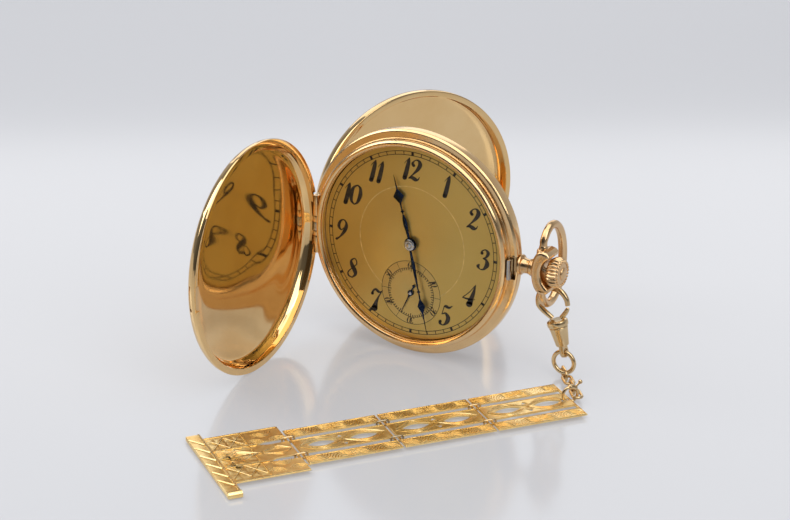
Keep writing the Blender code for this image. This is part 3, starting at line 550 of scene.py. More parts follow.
def make_cover(side):
    """A domed shell with a smooth mirror inside, a rim and its hinge knuckles."""
    if side == "front":
        sign, local = -1, FRONT_HINGE
        outer = [(0, 4.9), (9, 4.75), (17, 4.2), (22.5, 3.3), (24.9, 2.3), (25.8, 1.1), (CASE_R, 0.25)]
        inner = [(24.15, 1.6), (23.5, 2.3), (22.2, 2.8), (17, 3.7), (9, 4.3), (0, 4.45)]
        lip = (24.4, 1.2)
    else:
        sign, local = 1, REAR_HINGE
        outer = [(0, 5.2), (9, 5.1), (17, 4.75), (23.2, 4.1), (25.3, 2.9), (25.9, 1.6), (CASE_R, 0.25)]
        inner = [(24.5, 2.5), (24.1, 3.1), (22.6, 3.6), (17, 4.25), (9, 4.6), (0, 4.7)]
        lip = (24.6, 2.2)
    edge = [(CASE_R - 0.06, 0.06), (CASE_R - 0.25, 0), (lip[0] + 0.15, 0), (lip[0], 0.12), lip]
    profile = spline(outer, 8) + edge + spline(inner, 8)
    profile = [(radius, sign * rise) for radius, rise in profile]
    middle = (HINGE_REACH, sign * COVER_GAP, 0)
    shape = lathe(Shape(), profile, move(*middle) @ DEPTH)
    rim = 0.95
    low, high = sorted((-sign * 2.0, sign * rim))
    cutters = [box((-3, low, -HINGE_HALF), (rim, high, HINGE_HALF))]
    free = 24.1 + HINGE_REACH
    if side == "front":
        cutters.append(box((free - 0.3, -2.0, -3.5), (free + 1.5, 1, 2.2)))
    else:
        cutters.append(box((free + 1.3, -1, 5.0), (free + 2.2, 0.75, 8.0)))
    piece(side + "_cover_shell", shape, side + "_cover", INNER_GOLD, local, [side + "_cover"], cutters)
    leaf = Shape()
    web = (-0.6, 0.15) if side == "front" else (-0.15, 0.6)
    for key in ("upper", "lower"):
        knuckle(leaf, key, (0, 0), sign * 90, *web, 1.6)
    piece(side + "_cover_knuckles", leaf, side + "_cover", CASE_GOLD, local)


def make_inner_cover():
    profile = [(0, 5.75), (23.7, 5.75), (23.75, 5.7), (23.75, 4.75), (23.8, 4.7), (24.1, 4.7),
               (24.15, 4.75), (24.15, 5.9), (24.0, 6.13), (23.7, 6.2), (21.6, 6.22), (21.5, 6.14),
               (21.3, 6.14), (21.2, 6.24), (12, 6.31), (0, 6.35)]
    shape = lathe(Shape(), profile, move(HINGE_REACH, -3.1, 0) @ DEPTH)
    leaf = Shape()
    knuckle(leaf, "middle", (0, 0), 90, -0.78, -0.36, 2.3)
    shape.add(leaf.points, leaf.faces)
    piece("inner_cover_polished", shape, "inner_cover", INNER_GOLD, INNER_HINGE, ["cuvette"])


def make_bezel():
    profile = rounded([(22.9, -1.2), (22.65, -1.4), (22.7, -1.62), (23.15, -1.9), (23.5, -1.82),
                       (23.9, -1.4), (24.08, -0.7), (24.05, -0.05), (22.45, -0.05), (22.45, -1.2)], 0.16)
    piece("bezel_polished", lathe(Shape(), profile, DEPTH), "case", CASE_GOLD, WATCH, ["bezel"], sharp=50)
    glass = spline([(0, -2.1), (11, -2.04), (22.6, -1.78)], 8) + [(22.8, -1.65), (22.8, -1.3)]
    glass += spline([(22.6, -1.26), (11, -1.5), (0, -1.56)], 8)
    piece("watch_glass", lathe(Shape(), glass, DEPTH), "case", GLASS, WATCH, ["crystal"])


def make_catch():
    """The steel nose that holds the front cover shut, seen in its slot at 3 o'clock."""
    shape = Shape()
    nose = rounded(box_outline(24.3, 25.0, -2.95, 1.65), 0.12)
    leg = rounded(box_outline(24.3, 25.0, -2.9, -1.65), 0.08)
    spring = arc(21.4, -52, -3.6, 40) + arc(21.0, -3.6, -52, 40)
    arm = rounded(box_outline(21.3, 24.9, -2.9, -1.65), 0.08)
    for outline, low, high, bevel in ((nose, -0.2, 1.35, 0.08), (leg, -1.5, 0.0, 0.05),
                                      (spring, -1.3, -0.6, 0.05), (arm, -1.5, -1.1, 0.05)):
        flat(shape, [outline], low, high, bevel, FACE)
    piece("lock_spring_steel", shape, "lock_spring", STEEL, WATCH, ["lock_spring"])


# ---- pendant, crown and bow ----
EAR_X = (joint_at("bow_hinge").x - DIAL_AT.x) / MM
PENDANT = WATCH @ shift(0, PENDANT_DEPTH, 0)


def make_pendant():
    """The neck, and the crescent that reaches round the crown and holds the bow."""
    shape = Shape()
    neck = [(0.95, 23.2), (0.95, 25.8), (1.3, 26.0), (2.15, 26.1), (2.35, 26.35), (2.15, 26.65),
            (1.75, 26.9), (1.6, 27.8), (1.7, 28.6), (1.95, 28.9), (1.7, 29.2), (1.9, 29.8),
            (2.4, 30.6), (0.75, 31.3), (0.75, 23.2)]
    lathe(shape, rounded(neck, 0.14), ALONG_X, 64)
    jaw = arc(4.0, 121, 239, 24, (EAR_X + 4.6, 0))
    half_back = [(0.9, 4.95), (-0.3, 4.5), (-1.2, 3.1), (-1.6, 1.5)]
    back = [(EAR_X + x, -z) for x, z in half_back] + [(EAR_X - 1.7, 0)]
    back += [(EAR_X + x, z) for x, z in reversed(half_back)]
    ends = [(EAR_X + 2.0, 4.7), (EAR_X + 2.65, 4.1)]
    outline = spline(back, 5) + ends + jaw + [(x, -z) for x, z in reversed(ends)]
    flat(shape, [rounded(outline, 0.1)], -2.6, 2.6, 0.7, FACE, 3)
    ear = [(0, 3.0), (1.3, 3.0), (1.45, 3.6), (1.35, 4.5), (0.95, 4.75), (0, 4.75)]
    for turn in (0, 180):
        lathe(shape, rounded(ear, 0.25, False), move(EAR_X, 0, 0) @ spin(turn, "X"), 40)
    piece("pendant_yoke", shape, "case", RED_GOLD, PENDANT, ["pendant"], sharp=40)


def make_crown():
    """A fluted onion crown with a beaded rim and a button."""
    shape = Shape()
    flutes, per_flute = 24, 8
    profile = spline([(33.15, 2.1), (33.4, 2.75), (34.2, 3.3), (35.0, 3.42), (35.7, 3.15), (36.0, 2.8)], 4)
    rows = [(33.1, 0.7, 0.0)]
    rows += [(x, radius, 0.34 * sin(pi * i / (len(profile) - 1)) ** 0.6)
             for i, (x, radius) in enumerate(profile)]
    rows += [(36.1, 2.4, 0.0), (36.25, 1.7, 0.0), (36.3, 1.35, 0.0)]
    steps = flutes * per_flute
    points = []
    for step in range(steps):
        angle = 2 * pi * step / steps
        groove = 0.5 - 0.5 * cos(flutes * angle)
        for x, radius, depth in rows:
            reach = radius - depth * groove ** 1.4
            points.append((x, reach * cos(angle), reach * sin(angle)))
    faces = []
    count = len(rows)
    for step in range(steps):
        after = (step + 1) % steps
        faces += [(step * count + i, step * count + i + 1, after * count + i + 1, after * count + i)
                  for i in range(count - 1)]
    shape.add(points, faces)
    for bead in range(flutes):
        y, z = polar(2.6, 360 * bead / flutes)
        ball(shape, (36.05, y, z), 0.32, 6)
    button = spline([(1.4, 36.15), (1.4, 36.4), (1.15, 36.62), (0.6, 36.78), (0, 36.8)], 4)
    lathe(shape, button, ALONG_X, 40)
    piece("crown_fluted", shape, "crown", RED_GOLD, PENDANT, ["crown"], sharp=50)
    stem = Shape()
    lathe(stem, [(0, 12.6), (0.55, 12.6), (0.55, 34.2), (0, 34.2)], ALONG_X, 24)
    pinion = []
    for tooth in range(12):
        pinion += [polar(1.1, 30 * tooth - 5), polar(1.1, 30 * tooth + 5),
                   polar(0.85, 30 * tooth + 10), polar(0.85, 30 * tooth + 20)]
    flat(stem, [pinion], 13.0, 14.6, 0.0, ALONG_X)
    piece("winding_stem_and_pinion", stem, "stem", STEEL, PENDANT, ["winding_stem"])


def make_bow():
    front, back, middle, half = 5.2, 5.9, 3.7, 9.0
    start = acos(-middle / front)
    path = [(0, 0, 4.0)]
    radii = [0.78]
    count = 60
    for i in range(count + 1):
        angle = start - 2 * start * i / count
        reach = back if cos(angle) > 0 else front
        path.append((0, middle + reach * cos(angle), half * sin(angle)))
        radii.append(0.82 + 0.16 * cos(angle / 2) ** 2)
    path.append((0, 0, -4.0))
    radii.append(0.78)
    shape = tube(Shape(), path, radii, 24)
    for sign in (1, -1):
        ball(shape, (0, 0, sign * 4.95), 0.98, 10)
    piece("bow_smooth", shape, "bow", RED_GOLD, on_joint("bow_hinge"), ["bow"])


# ---- dial and hands ----
# Each digit is drawn with pen strokes of (x, y, width) in hundredths of its own height.
DIGITS = {
    "0": [[(3, 100, 4), (-16, 84, 10), (-22, 50, 15), (-16, 16, 10), (0, 0, 4)],
          [(3, 100, 4), (18, 84, 10), (22, 50, 15), (14, 14, 10), (0, 0, 4)]],
    "1": [[(-13, 72, 1.5), (-5, 86, 3), (5, 100, 3.5)],
          [(7, 102, 5), (6, 80, 13), (3, 30, 16), (0, 2, 16)]],
    "2": [[(-11, 70, 11), (-18, 80, 9), (-8, 96, 4), (7, 98, 8), (18, 80, 15), (12, 56, 13), (-6, 28, 6),
          (-24, 5, 3.5)],
          [(-24, 4, 4), (-10, 10, 12), (8, 3, 14), (20, 5, 6), (25, 18, 2.5)]],
    "3": [[(-13, 80, 11), (-14, 90, 6), (0, 100, 5), (15, 86, 12), (10, 65, 8), (-4, 55, 3)],
          [(-4, 55, 3), (12, 50, 8), (20, 27, 16), (8, 3, 8), (-9, 0, 4), (-20, 12, 11), (-17, 20, 7)]],
    "4": [[(18, 100, 3), (-4, 60, 3.5), (-30, 28, 3.5)],
          [(-30, 27, 4), (0, 25, 7), (28, 29, 2.5)],
          [(19, 102, 3), (16, 60, 12), (10, 25, 17), (6, 0, 23)]],
    "5": [[(27, 106, 2.5), (13, 94, 9), (-4, 98, 11), (-12, 93, 3)],
          [(-10, 97, 3.5), (-13, 75, 3), (-15, 55, 3)],
          [(-15, 54, 3), (1, 62, 8), (17, 43, 15), (15, 18, 14), (0, 0, 5), (-16, 5, 9), (-17, 16, 11)]],
    "6": [[(15, 92, 4), (-8, 78, 8), (-19, 40, 14), (-9, 3, 7), (8, 0, 5), (18, 22, 12), (9, 46, 6),
          (-10, 38, 3)]],
    "7": [[(-22, 74, 11), (-20, 88, 7), (-9, 99, 9), (6, 90, 10), (16, 90, 6), (25, 100, 2.5)],
          [(25, 99, 2.5), (11, 64, 6), (3, 28, 14), (0, 0, 24)]],
    "8": [[(14, 88, 4), (2, 100, 4.5), (-13, 86, 8), (-6, 64, 14), (12, 38, 16), (17, 18, 11),
          (4, 0, 4.5)],
          [(4, 0, 4.5), (-15, 7, 6), (-19, 26, 5), (-2, 50, 3), (15, 72, 4.5), (14, 88, 4)]],
    "9": [[(10, 60, 3), (-3, 47, 5), (-17, 64, 11), (-13, 90, 9), (3, 100, 4.5), (17, 86, 8),
          (19, 62, 14), (10, 32, 11), (-5, 8, 6), (-18, -4, 9)]],
}
ITALIC = 0.17
INK_HEIGHT = 0.012


def pen_stroke(shape, points, place, weight):
    """A flat ribbon with round ends, along points of (x, y, width)."""
    line = spline(points, 7)
    left, right = [], []
    for i, (x, y, width) in enumerate(line):
        before, after = line[max(0, i - 1)], line[min(len(line) - 1, i + 1)]
        along = Vector((after[0] - before[0], after[1] - before[1])).normalized() * width * weight / 2
        left.append((x - along.y, y + along.x))
        right.append((x + along.y, y - along.x))
    outline = left + list(reversed(right))
    count = len(left)
    points = [(x, y, 0) for x, y in outline]
    faces = [(i, i + 1, 2 * count - 2 - i, 2 * count - 1 - i) for i in range(count - 1)]
    shape.add(points, faces, place)
    for end in (0, -1):
        x, y, width = line[end]
        shape.add([(*point, 0) for point in circle(width * weight / 2, 14, (x, y))], [tuple(range(14))],
                  place)


def write_number(shape, text, middle, height, turn=0.0, squeeze=1.0, weight=1.35):
    """Digits side by side about their middle, slanted, and turned about it."""
    advance = {"1": 0.36}
    widths = [advance.get(digit, 0.52) for digit in text]
    x = -sum(widths) / 2
    slant = Matrix(((squeeze, ITALIC, 0, 0), (0, 1, 0, 0), (0, 0, 1, 0), (0, 0, 0, 1)))
    for digit, width in zip(text, widths):
        place = (move(*middle, INK_HEIGHT) @ spin(turn, "Z") @ Matrix.Scale(height, 4) @ slant
                 @ move(x + width / 2, -0.5, 0))
        for stroke in DIGITS[digit]:
            points = [[value / 100 for value in point] for point in stroke]
            pen_stroke(shape, points, place, weight)
        x += width


def ring_line(shape, radius, width, height=INK_HEIGHT, count=180):
    inner, outer = circle(radius - width / 2, count), circle(radius + width / 2, count)
    points = [(*p, height) for p in inner + outer]
    faces = [(i, (i + 1) % count, count + (i + 1) % count, count + i) for i in range(count)]
    shape.add(points, faces)


def radial_mark(shape, inner, outer, width, degrees):
    points = [(x, y, INK_HEIGHT) for x, y in box_outline(inner, outer, -width / 2, width / 2)]
    shape.add(points, [(0, 1, 2, 3)], spin(degrees, "Z"))


def make_dial():
    dial = WATCH @ FACE
    shape = Shape()
    plate = rounded([(22.35, 0.0), (22.35, -0.4), (0.95, -0.4), (0.95, 0.0)], 0.04)
    lathe(shape, plate)
    hole = lathe(Shape(), [(0, -1), (0.4, -1), (0.4, 1), (0, 1)], move(0, SECONDS_Z, 0), 24)
    piece("dial_face", shape, "case", DIAL_GILT, dial, ["dial"], [hole])

    marks = Shape()
    outer, inner = 21.25, 20.45
    ring_line(marks, outer, 0.15)
    ring_line(marks, inner, 0.15)
    for minute in range(60):
        if minute % 5:
            radial_mark(marks, inner, outer, 0.19, 6 * minute)
        else:
            radial_mark(marks, inner - 0.1, outer + 0.05, 0.62, 6 * minute)
    places = {"12": (-0.2, 17.3), "1": (8.5, 15.0), "2": (15.3, 8.9), "3": (18.0, 0.0),
              "4": (14.8, -8.8), "5": (8.7, -15.2), "7": (-9.0, -15.1), "8": (-15.1, -8.9),
              "9": (-18.0, -0.2), "10": (-15.3, 8.7), "11": (-9.1, 15.2)}
    for text, middle in places.items():
        write_number(marks, text, middle, 4.7, squeeze=1.1)
    piece("dial_numerals_and_track", marks, "case", INK, dial)

    circles = Shape()
    ring_line(circles, 13.2, 0.13, height=0.006)
    piece("dial_engraved_circle", circles, "case", ENGRAVED_LINE, dial)

    seconds = WATCH @ FACE @ shift(0, SECONDS_Z, 0)
    disc = Shape()
    lathe(disc, rounded([(0.42, 0.001), (0.42, 0.008), (7.45, 0.008), (7.45, 0.001)], 0.002), None, 128)
    piece("seconds_dial_face", disc, "case", SECONDS_GILT, seconds)
    marks = Shape()
    rim, track = 7.45, 5.8
    ring_line(marks, rim, 0.12, count=120)
    ring_line(marks, track, 0.12, count=120)
    for second in range(60):
        length = 0.55 if second % 5 else 0.8
        radial_mark(marks, track - length, track, 0.22, 6 * second)
    for number in range(6):
        radial_mark(marks, track, rim, 0.09, 120 - 60 * number)
        text = ["60", "10", "20", "30", "40", "50"][number]
        angle = 90 - 60 * number
        write_number(marks, text, polar(6.62, angle), 1.62, angle - 90, 1.0, 1.3)
    piece("seconds_dial_printing", marks, "case", INK, seconds)


def hand_outline(length, lozenge, half_width, half_height, collar, hub, leaf_at, leaf):
    """A leaf, a small cross collar, a lozenge and a fine point, along +Y from the hub."""
    right = [(0.02, length), (0.13, lozenge + half_height + 1.2), (0.2, lozenge + half_height)]
    right += [(half_width, lozenge), (0.2, lozenge - half_height), (0.15, collar + 0.55)]
    right += [(0.16, collar + 0.2), (0.42, collar + 0.12), (0.42, collar - 0.12), (0.16, collar - 0.2)]
    right += spline([(0.14, collar - 0.7), (leaf * 0.8, leaf_at + 1.3), (leaf, leaf_at),
                     (leaf * 0.75, leaf_at - 1.3), (0.28, hub * 0.97)], 5)
    left = [(-x, y) for x, y in reversed(right)]
    return right + arc(hub, 78, -258, 40) + left


def make_hand(name, outline, hole, low, high, body, degrees, node, middle=(0, 0)):
    shape = flat(Shape(), [outline, circle(hole)], low, high, 0.03)
    local = WATCH @ FACE @ shift(*middle, 0) @ spin(-degrees, "Z")
    piece(name, shape, body, BLUED, local, [node])


def make_hands():
    hour = hand_outline(16.0, 11.1, 1.4, 1.6, 7.6, 1.5, 4.6, 0.52)
    make_hand("hour_hand_blued", hour, 0.82, 0.47, 0.62, "hour", 344, "hour_hand")
    minute = hand_outline(20.9, 14.3, 0.98, 1.6, 10.9, 1.35, 4.6, 0.46)
    make_hand("minute_hand_blued", minute, 0.52, 0.9, 1.05, "centre", 166.8, "minute_hand")
    tail = [(0.05, 5.5), (0.14, 1.4), (0.22, 0.9)] + arc(0.68, 62, -62, 12)
    tail += [(0.16, -0.75), (0.14, -1.5)] + arc(0.34, 60, -60, 8, (0.02, -1.95))
    outline = tail + [(-x, y) for x, y in reversed(tail)]
    make_hand("seconds_hand_blued", outline, 0.23, 0.2, 0.33, "fourth", 205, "seconds_hand", (0, SECONDS_Z))
    cap = spline([(1.25, 1.06), (1.25, 1.15), (1.0, 1.28), (0.75, 1.3)], 4) + [(0.6, 1.24), (0.6, 1.36)]
    cap += [(0.5, 1.4), (0, 1.4)]
    piece("hand_cap_steel", lathe(Shape(), [(0, 1.06)] + cap, FACE, 48), "centre", STEEL)
    pin = [(0, 0.34), (0.42, 0.34), (0.4, 0.46), (0.2, 0.52), (0, 0.52)]
    piece("seconds_hub_steel", lathe(Shape(), pin, move(0, 0, SECONDS_Z) @ FACE, 32), "fourth", STEEL)


# ---- clip and links ----
def make_clip():
    hook = [(-1.0, -4.1), (-1.7, -3.35), (-2.6, -2.35), (-3.2, -1.5)]
    hook += arc(3.5, 180, 8, 9, (0, -0.7)) + [(3.43, -1.5)]
    path = upright(spline(hook))
    radii = [0.55 + 0.18 * sin(pi * i / (len(path) - 1)) for i in range(len(path))]
    piece("clip_hook_wire", tube(Shape(), path, radii, 20), "clip", CLIP_GOLD, CLIP, ["clip_hook"])

    gate = upright(spline([(-0.05, -0.55), (0.6, 0.0), (1.3, 0.65), (1.8, 1.25), (1.95, 1.55)]))
    radii = [0.56 - 0.26 * (i / (len(gate) - 1)) ** 3 for i in range(len(gate))]
    piece("clip_gate_wire", tube(Shape(), gate, radii, 18), "clip_gate", CLIP_GOLD, GATE, ["clip_gate"])

    barrel = Shape()
    profile = [(0, -0.1), (1.9, -0.1), (2.3, -0.35), (2.36, -0.9), (2.3, -1.45), (2.05, -1.6),
               (1.95, -1.72), (2.1, -1.85), (2.0, -2.2), (1.7, -4.2), (1.42, -6.0), (1.1, -6.15),
               (0, -6.15)]
    lathe(barrel, rounded(profile, 0.12, False), None, 64)
    eye = -7.6
    tab = arc(1.25, 0, -180, 20, (0, eye)) + [(-1.15, -6.0), (1.15, -6.0)]
    place = ALONG_X @ spin(90, "Z")
    flat(barrel, [tab, circle(0.78, 24, (0, eye))], -0.48, 0.48, 0.12, place, 2)
    piece("clip_barrel_turned", barrel, "clip_barrel", CLIP_GOLD, BARREL, ["clip_barrel"], sharp=40)

    radius = 2.45
    path = upright(circle(radius, 56, (0, -radius)))
    piece("clip_ring_wire", tube(Shape(), path, 0.49, 18, True), "clip_ring", CLIP_GOLD,
          CLIP_RING, ["clip_ring"])


def stadium(half_length, half_height):
    per_end = 14
    reach = half_length - half_height
    right = arc(half_height, -90, 90, per_end, (reach, 0))
    return upright(right + arc(half_height, 90, 270, per_end, (-reach, 0)))


def on_node(node, degrees):
    low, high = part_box(node)
    return Matrix.Translation((low + high) / 2) @ spin(degrees, "Z")


def make_links():
    wire = 0.33
    low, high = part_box("link_1")
    half = ((high.x - low.x) / MM / 2 - 0.32) / abs(cos(radians(LINK_TURN)))
    for number in range(1, 5):
        node = "link_%d" % number
        local = on_node(node, LINK_TURN)
        if number % 2 == 0:
            local = local @ spin(90, "X")
        piece(node + "_wire", tube(Shape(), stadium(half, 1.0), wire, 14, True), node, CLIP_GOLD,
              local, [node])


# ---- fob ----
def rib(shape, points, radius=0.1, height=0.0):
    """A raised engraved line on a panel's face."""
    path = [(x, y, PANEL_THICK / 2 + height) for x, y in points]
    tube(shape, path, radius, 6)


def frame_of(joint):
    return on_joint(joint, FOB_TURN) @ shift(PANEL_GAP / 2, 0, 0)


def marquise(middle, half_length, half_width, count=9):
    points = []
    for sign in (1, -1):
        for i in range(count - 1):
            x = sign * half_length * (1 - 2 * i / (count - 1))
            points.append((middle + x, sign * half_width * (1 - (x / half_length) ** 2)))
    return points


def nested_arcs(ribs, index, middle, low, high, radii, trim, thickness):
    """Arcs that stand on the high edge of a bar, or on the low one where the index is odd."""
    base, turn = (low, 0) if index % 2 else (high, 180)
    for radius in radii:
        rib(ribs, arc(radius, turn + trim, turn + 180 - trim, 11, (middle, base)), thickness)


def scroll_bar(ribs, start, end, low, high):
    """Nested arcs along an outer bar, standing on alternate edges like waves."""
    pitch = 3.9
    count = int((end - start) / pitch)
    step = (end - start) / count
    for index in range(count):
        middle = start + step * (index + 0.5)
        nested_arcs(ribs, index, middle, low, high, (2.55, 2.0, 1.45, 0.9), 8, 0.12)
    for edge in (low - 0.12, high + 0.12):
        rib(ribs, [(start - 0.2, edge), (end + 0.2, edge)], 0.09)


def plate(length, width, holes):
    """A panel's sheet with its openings."""
    outline = box_outline(0, length, -width / 2, width / 2)
    return flat(Shape(), [outline] + holes, -PANEL_THICK / 2, PANEL_THICK / 2, 0.06)


def make_long_panel(number):
    length, width = PANEL_LENGTH, PANEL_WIDTH
    middle, crossing = length / 2, 9.3
    half = SLIT_WIDTH / 2
    holes = [box_outline(STRIP, length - STRIP, side * SLIT_Y - half, side * SLIT_Y + half)
             for side in (-1, 1)]
    holes += [marquise(middle + side * 4.65, 3.2, 1.25) for side in (-1, 1)]
    holes += [[(middle - 0.8, side * 1.3), (middle + 0.8, side * 1.3), (middle, side * 2.4)]
              for side in (-1, 1)]
    if number == 4:
        holes.append(box_outline(0.4, 2.2, -0.5, 0.5))
    local = frame_of("panel_%d_hinge" % number)
    shape = plate(length, width, holes)
    body, node = "panel_%d" % number, "fob_panel_%d" % number
    piece(node + "_openwork", shape, body, FOB_GOLD, local, [node])

    ribs = Shape()
    inner, outer = SLIT_Y + half + 0.25, width / 2 - 0.3
    for side in (-1, 1):
        low, high = sorted((side * inner, side * outer))
        scroll_bar(ribs, 0.5, length - 0.5, low, high)
        rib(ribs, [(0.3, side * (SLIT_Y - half - 0.14)), (length - 0.3, side * (SLIT_Y - half - 0.14))],
            0.1)
        # Lines that follow the pointed ovals and cross between them like a plait.
        for reach, radius in ((1.5, 0.13), (2.0, 0.1), (2.5, 0.09)):
            xs = [(i / 40 - 0.5) * 18.4 for i in range(41)]
            rib(ribs, [(middle + x, side * (0.12 + reach * abs(sin(pi * x / crossing))))
                       for x in xs], radius)
    for x in (0.14, length - 0.14):
        rib(ribs, [(x, -width / 2 + 0.2), (x, width / 2 - 0.2)], 0.1)
    piece(node + "_engraving", ribs, body, RIB_GOLD, local)


def make_end_panel():
    length, width = END_PANEL_LENGTH, END_PANEL_WIDTH
    half = SLIT_WIDTH / 2
    holes = [[(STRIP, side * SLIT_Y - half), (4.6, side * SLIT_Y - half), (6.5, side * SLIT_Y),
              (4.6, side * SLIT_Y + half), (STRIP, side * SLIT_Y + half)] for side in (-1, 1)]
    local = frame_of("panel_1_hinge")
    shape = plate(length, width, holes)
    # The far part is dressed with low facets, which catch the light one by one.
    facet_top = PANEL_THICK / 2 + 0.16
    floor = PANEL_THICK / 2 - 0.02
    columns = [8.3, 10.2, 12.1, 14.0, 15.8]
    for x0, x1 in zip(columns, columns[1:]):
        for k in range(8):
            y0 = -9.4 + 2.35 * k
            y1 = y0 + 2.35
            tip = ((x0 + x1) / 2 + 0.35 * (-1) ** k, (y0 + y1) / 2, facet_top)
            base = [(x0, y0, floor), (x1, y0, floor), (x1, y1, floor), (x0, y1, floor)]
            shape.add(base + [tip], [(0, 1, 4), (1, 2, 4), (2, 3, 4), (3, 0, 4), (3, 2, 1, 0)])
    piece("fob_panel_1_engraved", shape, "panel_1", FOB_GOLD, local, ["fob_panel_1"], sharp=10)

    ribs = Shape()
    centre = 11.6
    for scale in (1.0, 0.72, 0.44):
        diamond = [(centre - 3.6 * scale, 0), (centre, 2.6 * scale), (centre + 3.6 * scale, 0),
                   (centre, -2.6 * scale), (centre - 3.6 * scale, 0)]
        rib(ribs, diamond, 0.13, 0.12)
    for side in (-1, 1):
        for k in range(5):
            rib(ribs, [(6.9 + 0.2 * k, side * 0.15), (15.6, side * (3.4 + 0.15 * k) * (0.35 + 0.16 * k))],
                0.09, 0.1)
        rib(ribs, [(6.6, side * SLIT_Y), (15.8, side * SLIT_Y)], 0.16, 0.1)
        rib(ribs, [(0.4, side * (width / 2 - 0.2)), (15.8, side * (width / 2 - 0.2))], 0.12)
        for start, end in ((8.6, 12.1), (12.1, 15.6)):
            rib(ribs, [(start, side * 4.2), (end, side * 9.0)], 0.12, 0.1)
            rib(ribs, [(start, side * 9.0), (end, side * 4.2)], 0.12, 0.1)
        low, high = sorted((side * 4.2, side * 9.1))
        for k in range(3):
            nested_arcs(ribs, k, 1.7 + 2.5 * k, low, high, (2.1, 1.6, 1.1, 0.6), 10, 0.09)
        for reach in (0.9, 1.4, 1.9):
            rib(ribs, spline([(0.5, side * 0.3), (3.0, side * reach), (6.4, side * 0.4)], 5), 0.09)
    rib(ribs, [(8.2, -width / 2 + 0.3), (8.2, width / 2 - 0.3)], 0.14, 0.04)
    piece("fob_panel_1_rays", ribs, "panel_1", RIB_GOLD, local)


def make_end_bar():
    """The wide closing bar, line-cut on the slant, with a rolled end."""
    local = on_joint("panel_1_hinge", FOB_TURN)
    start = END_PANEL_LENGTH + PANEL_GAP / 2 + 0.02
    width, far, near = 3.1, -12.4, 15.3
    shape = Shape()
    flat(shape, [rounded(box_outline(start, start + width, far, near), 0.25)], -0.6, 0.3, 0.14, None, 2)
    piece("end_bar_ground", shape, "panel_1", FOB_GOLD, local, ["end_bar"], sharp=25)
    cuts = 6
    bright = Shape()
    for index in range(cuts):
        y = far + 1.7 + (index + 0.5) * (near - 5.0 - far) / cuts
        ridge = [(start + 0.6, y + 1.5, 0.2), (start + width - 0.15, y - 1.5, 0.2)]
        tube(bright, ridge, 0.32, 6)
    tube(bright, [(start + 0.4, far + 0.2, 0.3), (start + 0.4, near - 0.2, 0.3)], 0.2, 8)
    tube(bright, [(start + 0.1, near - 0.75, -0.05), (start + width - 0.1, near - 0.75, -0.05)], 0.72, 20)
    piece("end_bar_bright_cuts", bright, "panel_1", RIB_GOLD, local, sharp=25)


def make_join_rings():
    """Two rings to each hinge. The ones in the middle are worn dark."""
    for number in range(1, 7):
        node, upper = "join_ring_%d" % number, 4 - (number - 1) // 2
        shader = WORN_RING if upper == 3 else CLIP_GOLD
        piece(node + "_wire", tube(Shape(), stadium(1.35, 0.6), 0.23, 12, True), "panel_%d" % upper,
              shader, on_node(node, FOB_TURN), [node])


def make_spring_ring():
    """A sprung ring with a collar, and a ball on its latch."""
    radius = 1.75
    middle = on_joint("panel_4_hinge", FOB_TURN) @ shift(0.35, 0, 0)
    middle.translation.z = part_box("spring_ring")[0].z + (radius + 0.3) * MM
    shape = tube(Shape(), upright(circle(radius, 48)), 0.33, 14, True)
    tube(shape, upright(arc(radius, 78, 142, 10)), [0.42] + [0.55] * 8 + [0.42], 16)
    latch = upright([polar(radius, 128), polar(radius + 1.7, 132)])
    tube(shape, latch, 0.24, 12)
    ball(shape, latch[1], 0.48, 8)
    piece("spring_ring_latched", shape, "spring_ring", CLIP_GOLD, middle, ["spring_ring"])


# ---- movement ----
def dress_movement():
    """Gives the movement's CAD pieces their finishes, and adds its screws and jewels."""
    finishes = {shader.slot: shader for shader in (STEEL, GILT_BRASS, NICKEL, BLUED)}
    slots = {part["node"]: part["material_slot"] for part in frame["record"]["subparts"]}
    for name, node in frame["nodes"].items():
        if not node.hide_render and slots[name] in finishes:
            node.data.materials.clear()
            node.data.materials.append(finishes[slots[name]].material)
    back = (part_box("barrel_bridge")[1].y - DIAL_AT.y) / MM
    screws, jewels = Shape(), Shape()
    for radius, angle in ((19.2, 128), (19.2, 28), (19.2, -112), (19.2, -34), (6.0, 95), (11.0, 0)):
        x, z = polar(radius, angle)
        head = rounded([(0, back), (0.85, back), (0.85, back + 0.28), (0.7, back + 0.36), (0, back + 0.36)],
                       0.08, False)
        lathe(screws, head, move(x, 0, z) @ DEPTH, 32)
        flat(screws, [[(-0.8, -0.1), (0.8, -0.1), (0.8, 0.1), (-0.8, 0.1)]], -back - 0.39, -back - 0.33,
             0.0, move(x, 0, z) @ FACE @ spin(35 * radius, "Z"))
    for joint in ("seconds_turn", "escape_turn", "third_turn"):
        at = (joint_at(joint) - DIAL_AT) / MM
        ring = rounded([(0.2, back), (0.62, back), (0.62, back + 0.05), (0.35, back + 0.06),
                        (0.2, back + 0.02)], 0.02)
        lathe(jewels, ring, move(at.x, 0, at.z) @ DEPTH, 32)
    piece("bridge_screws", screws, "case", BLUED)
    piece("bridge_jewels", jewels, "case", RUBY)


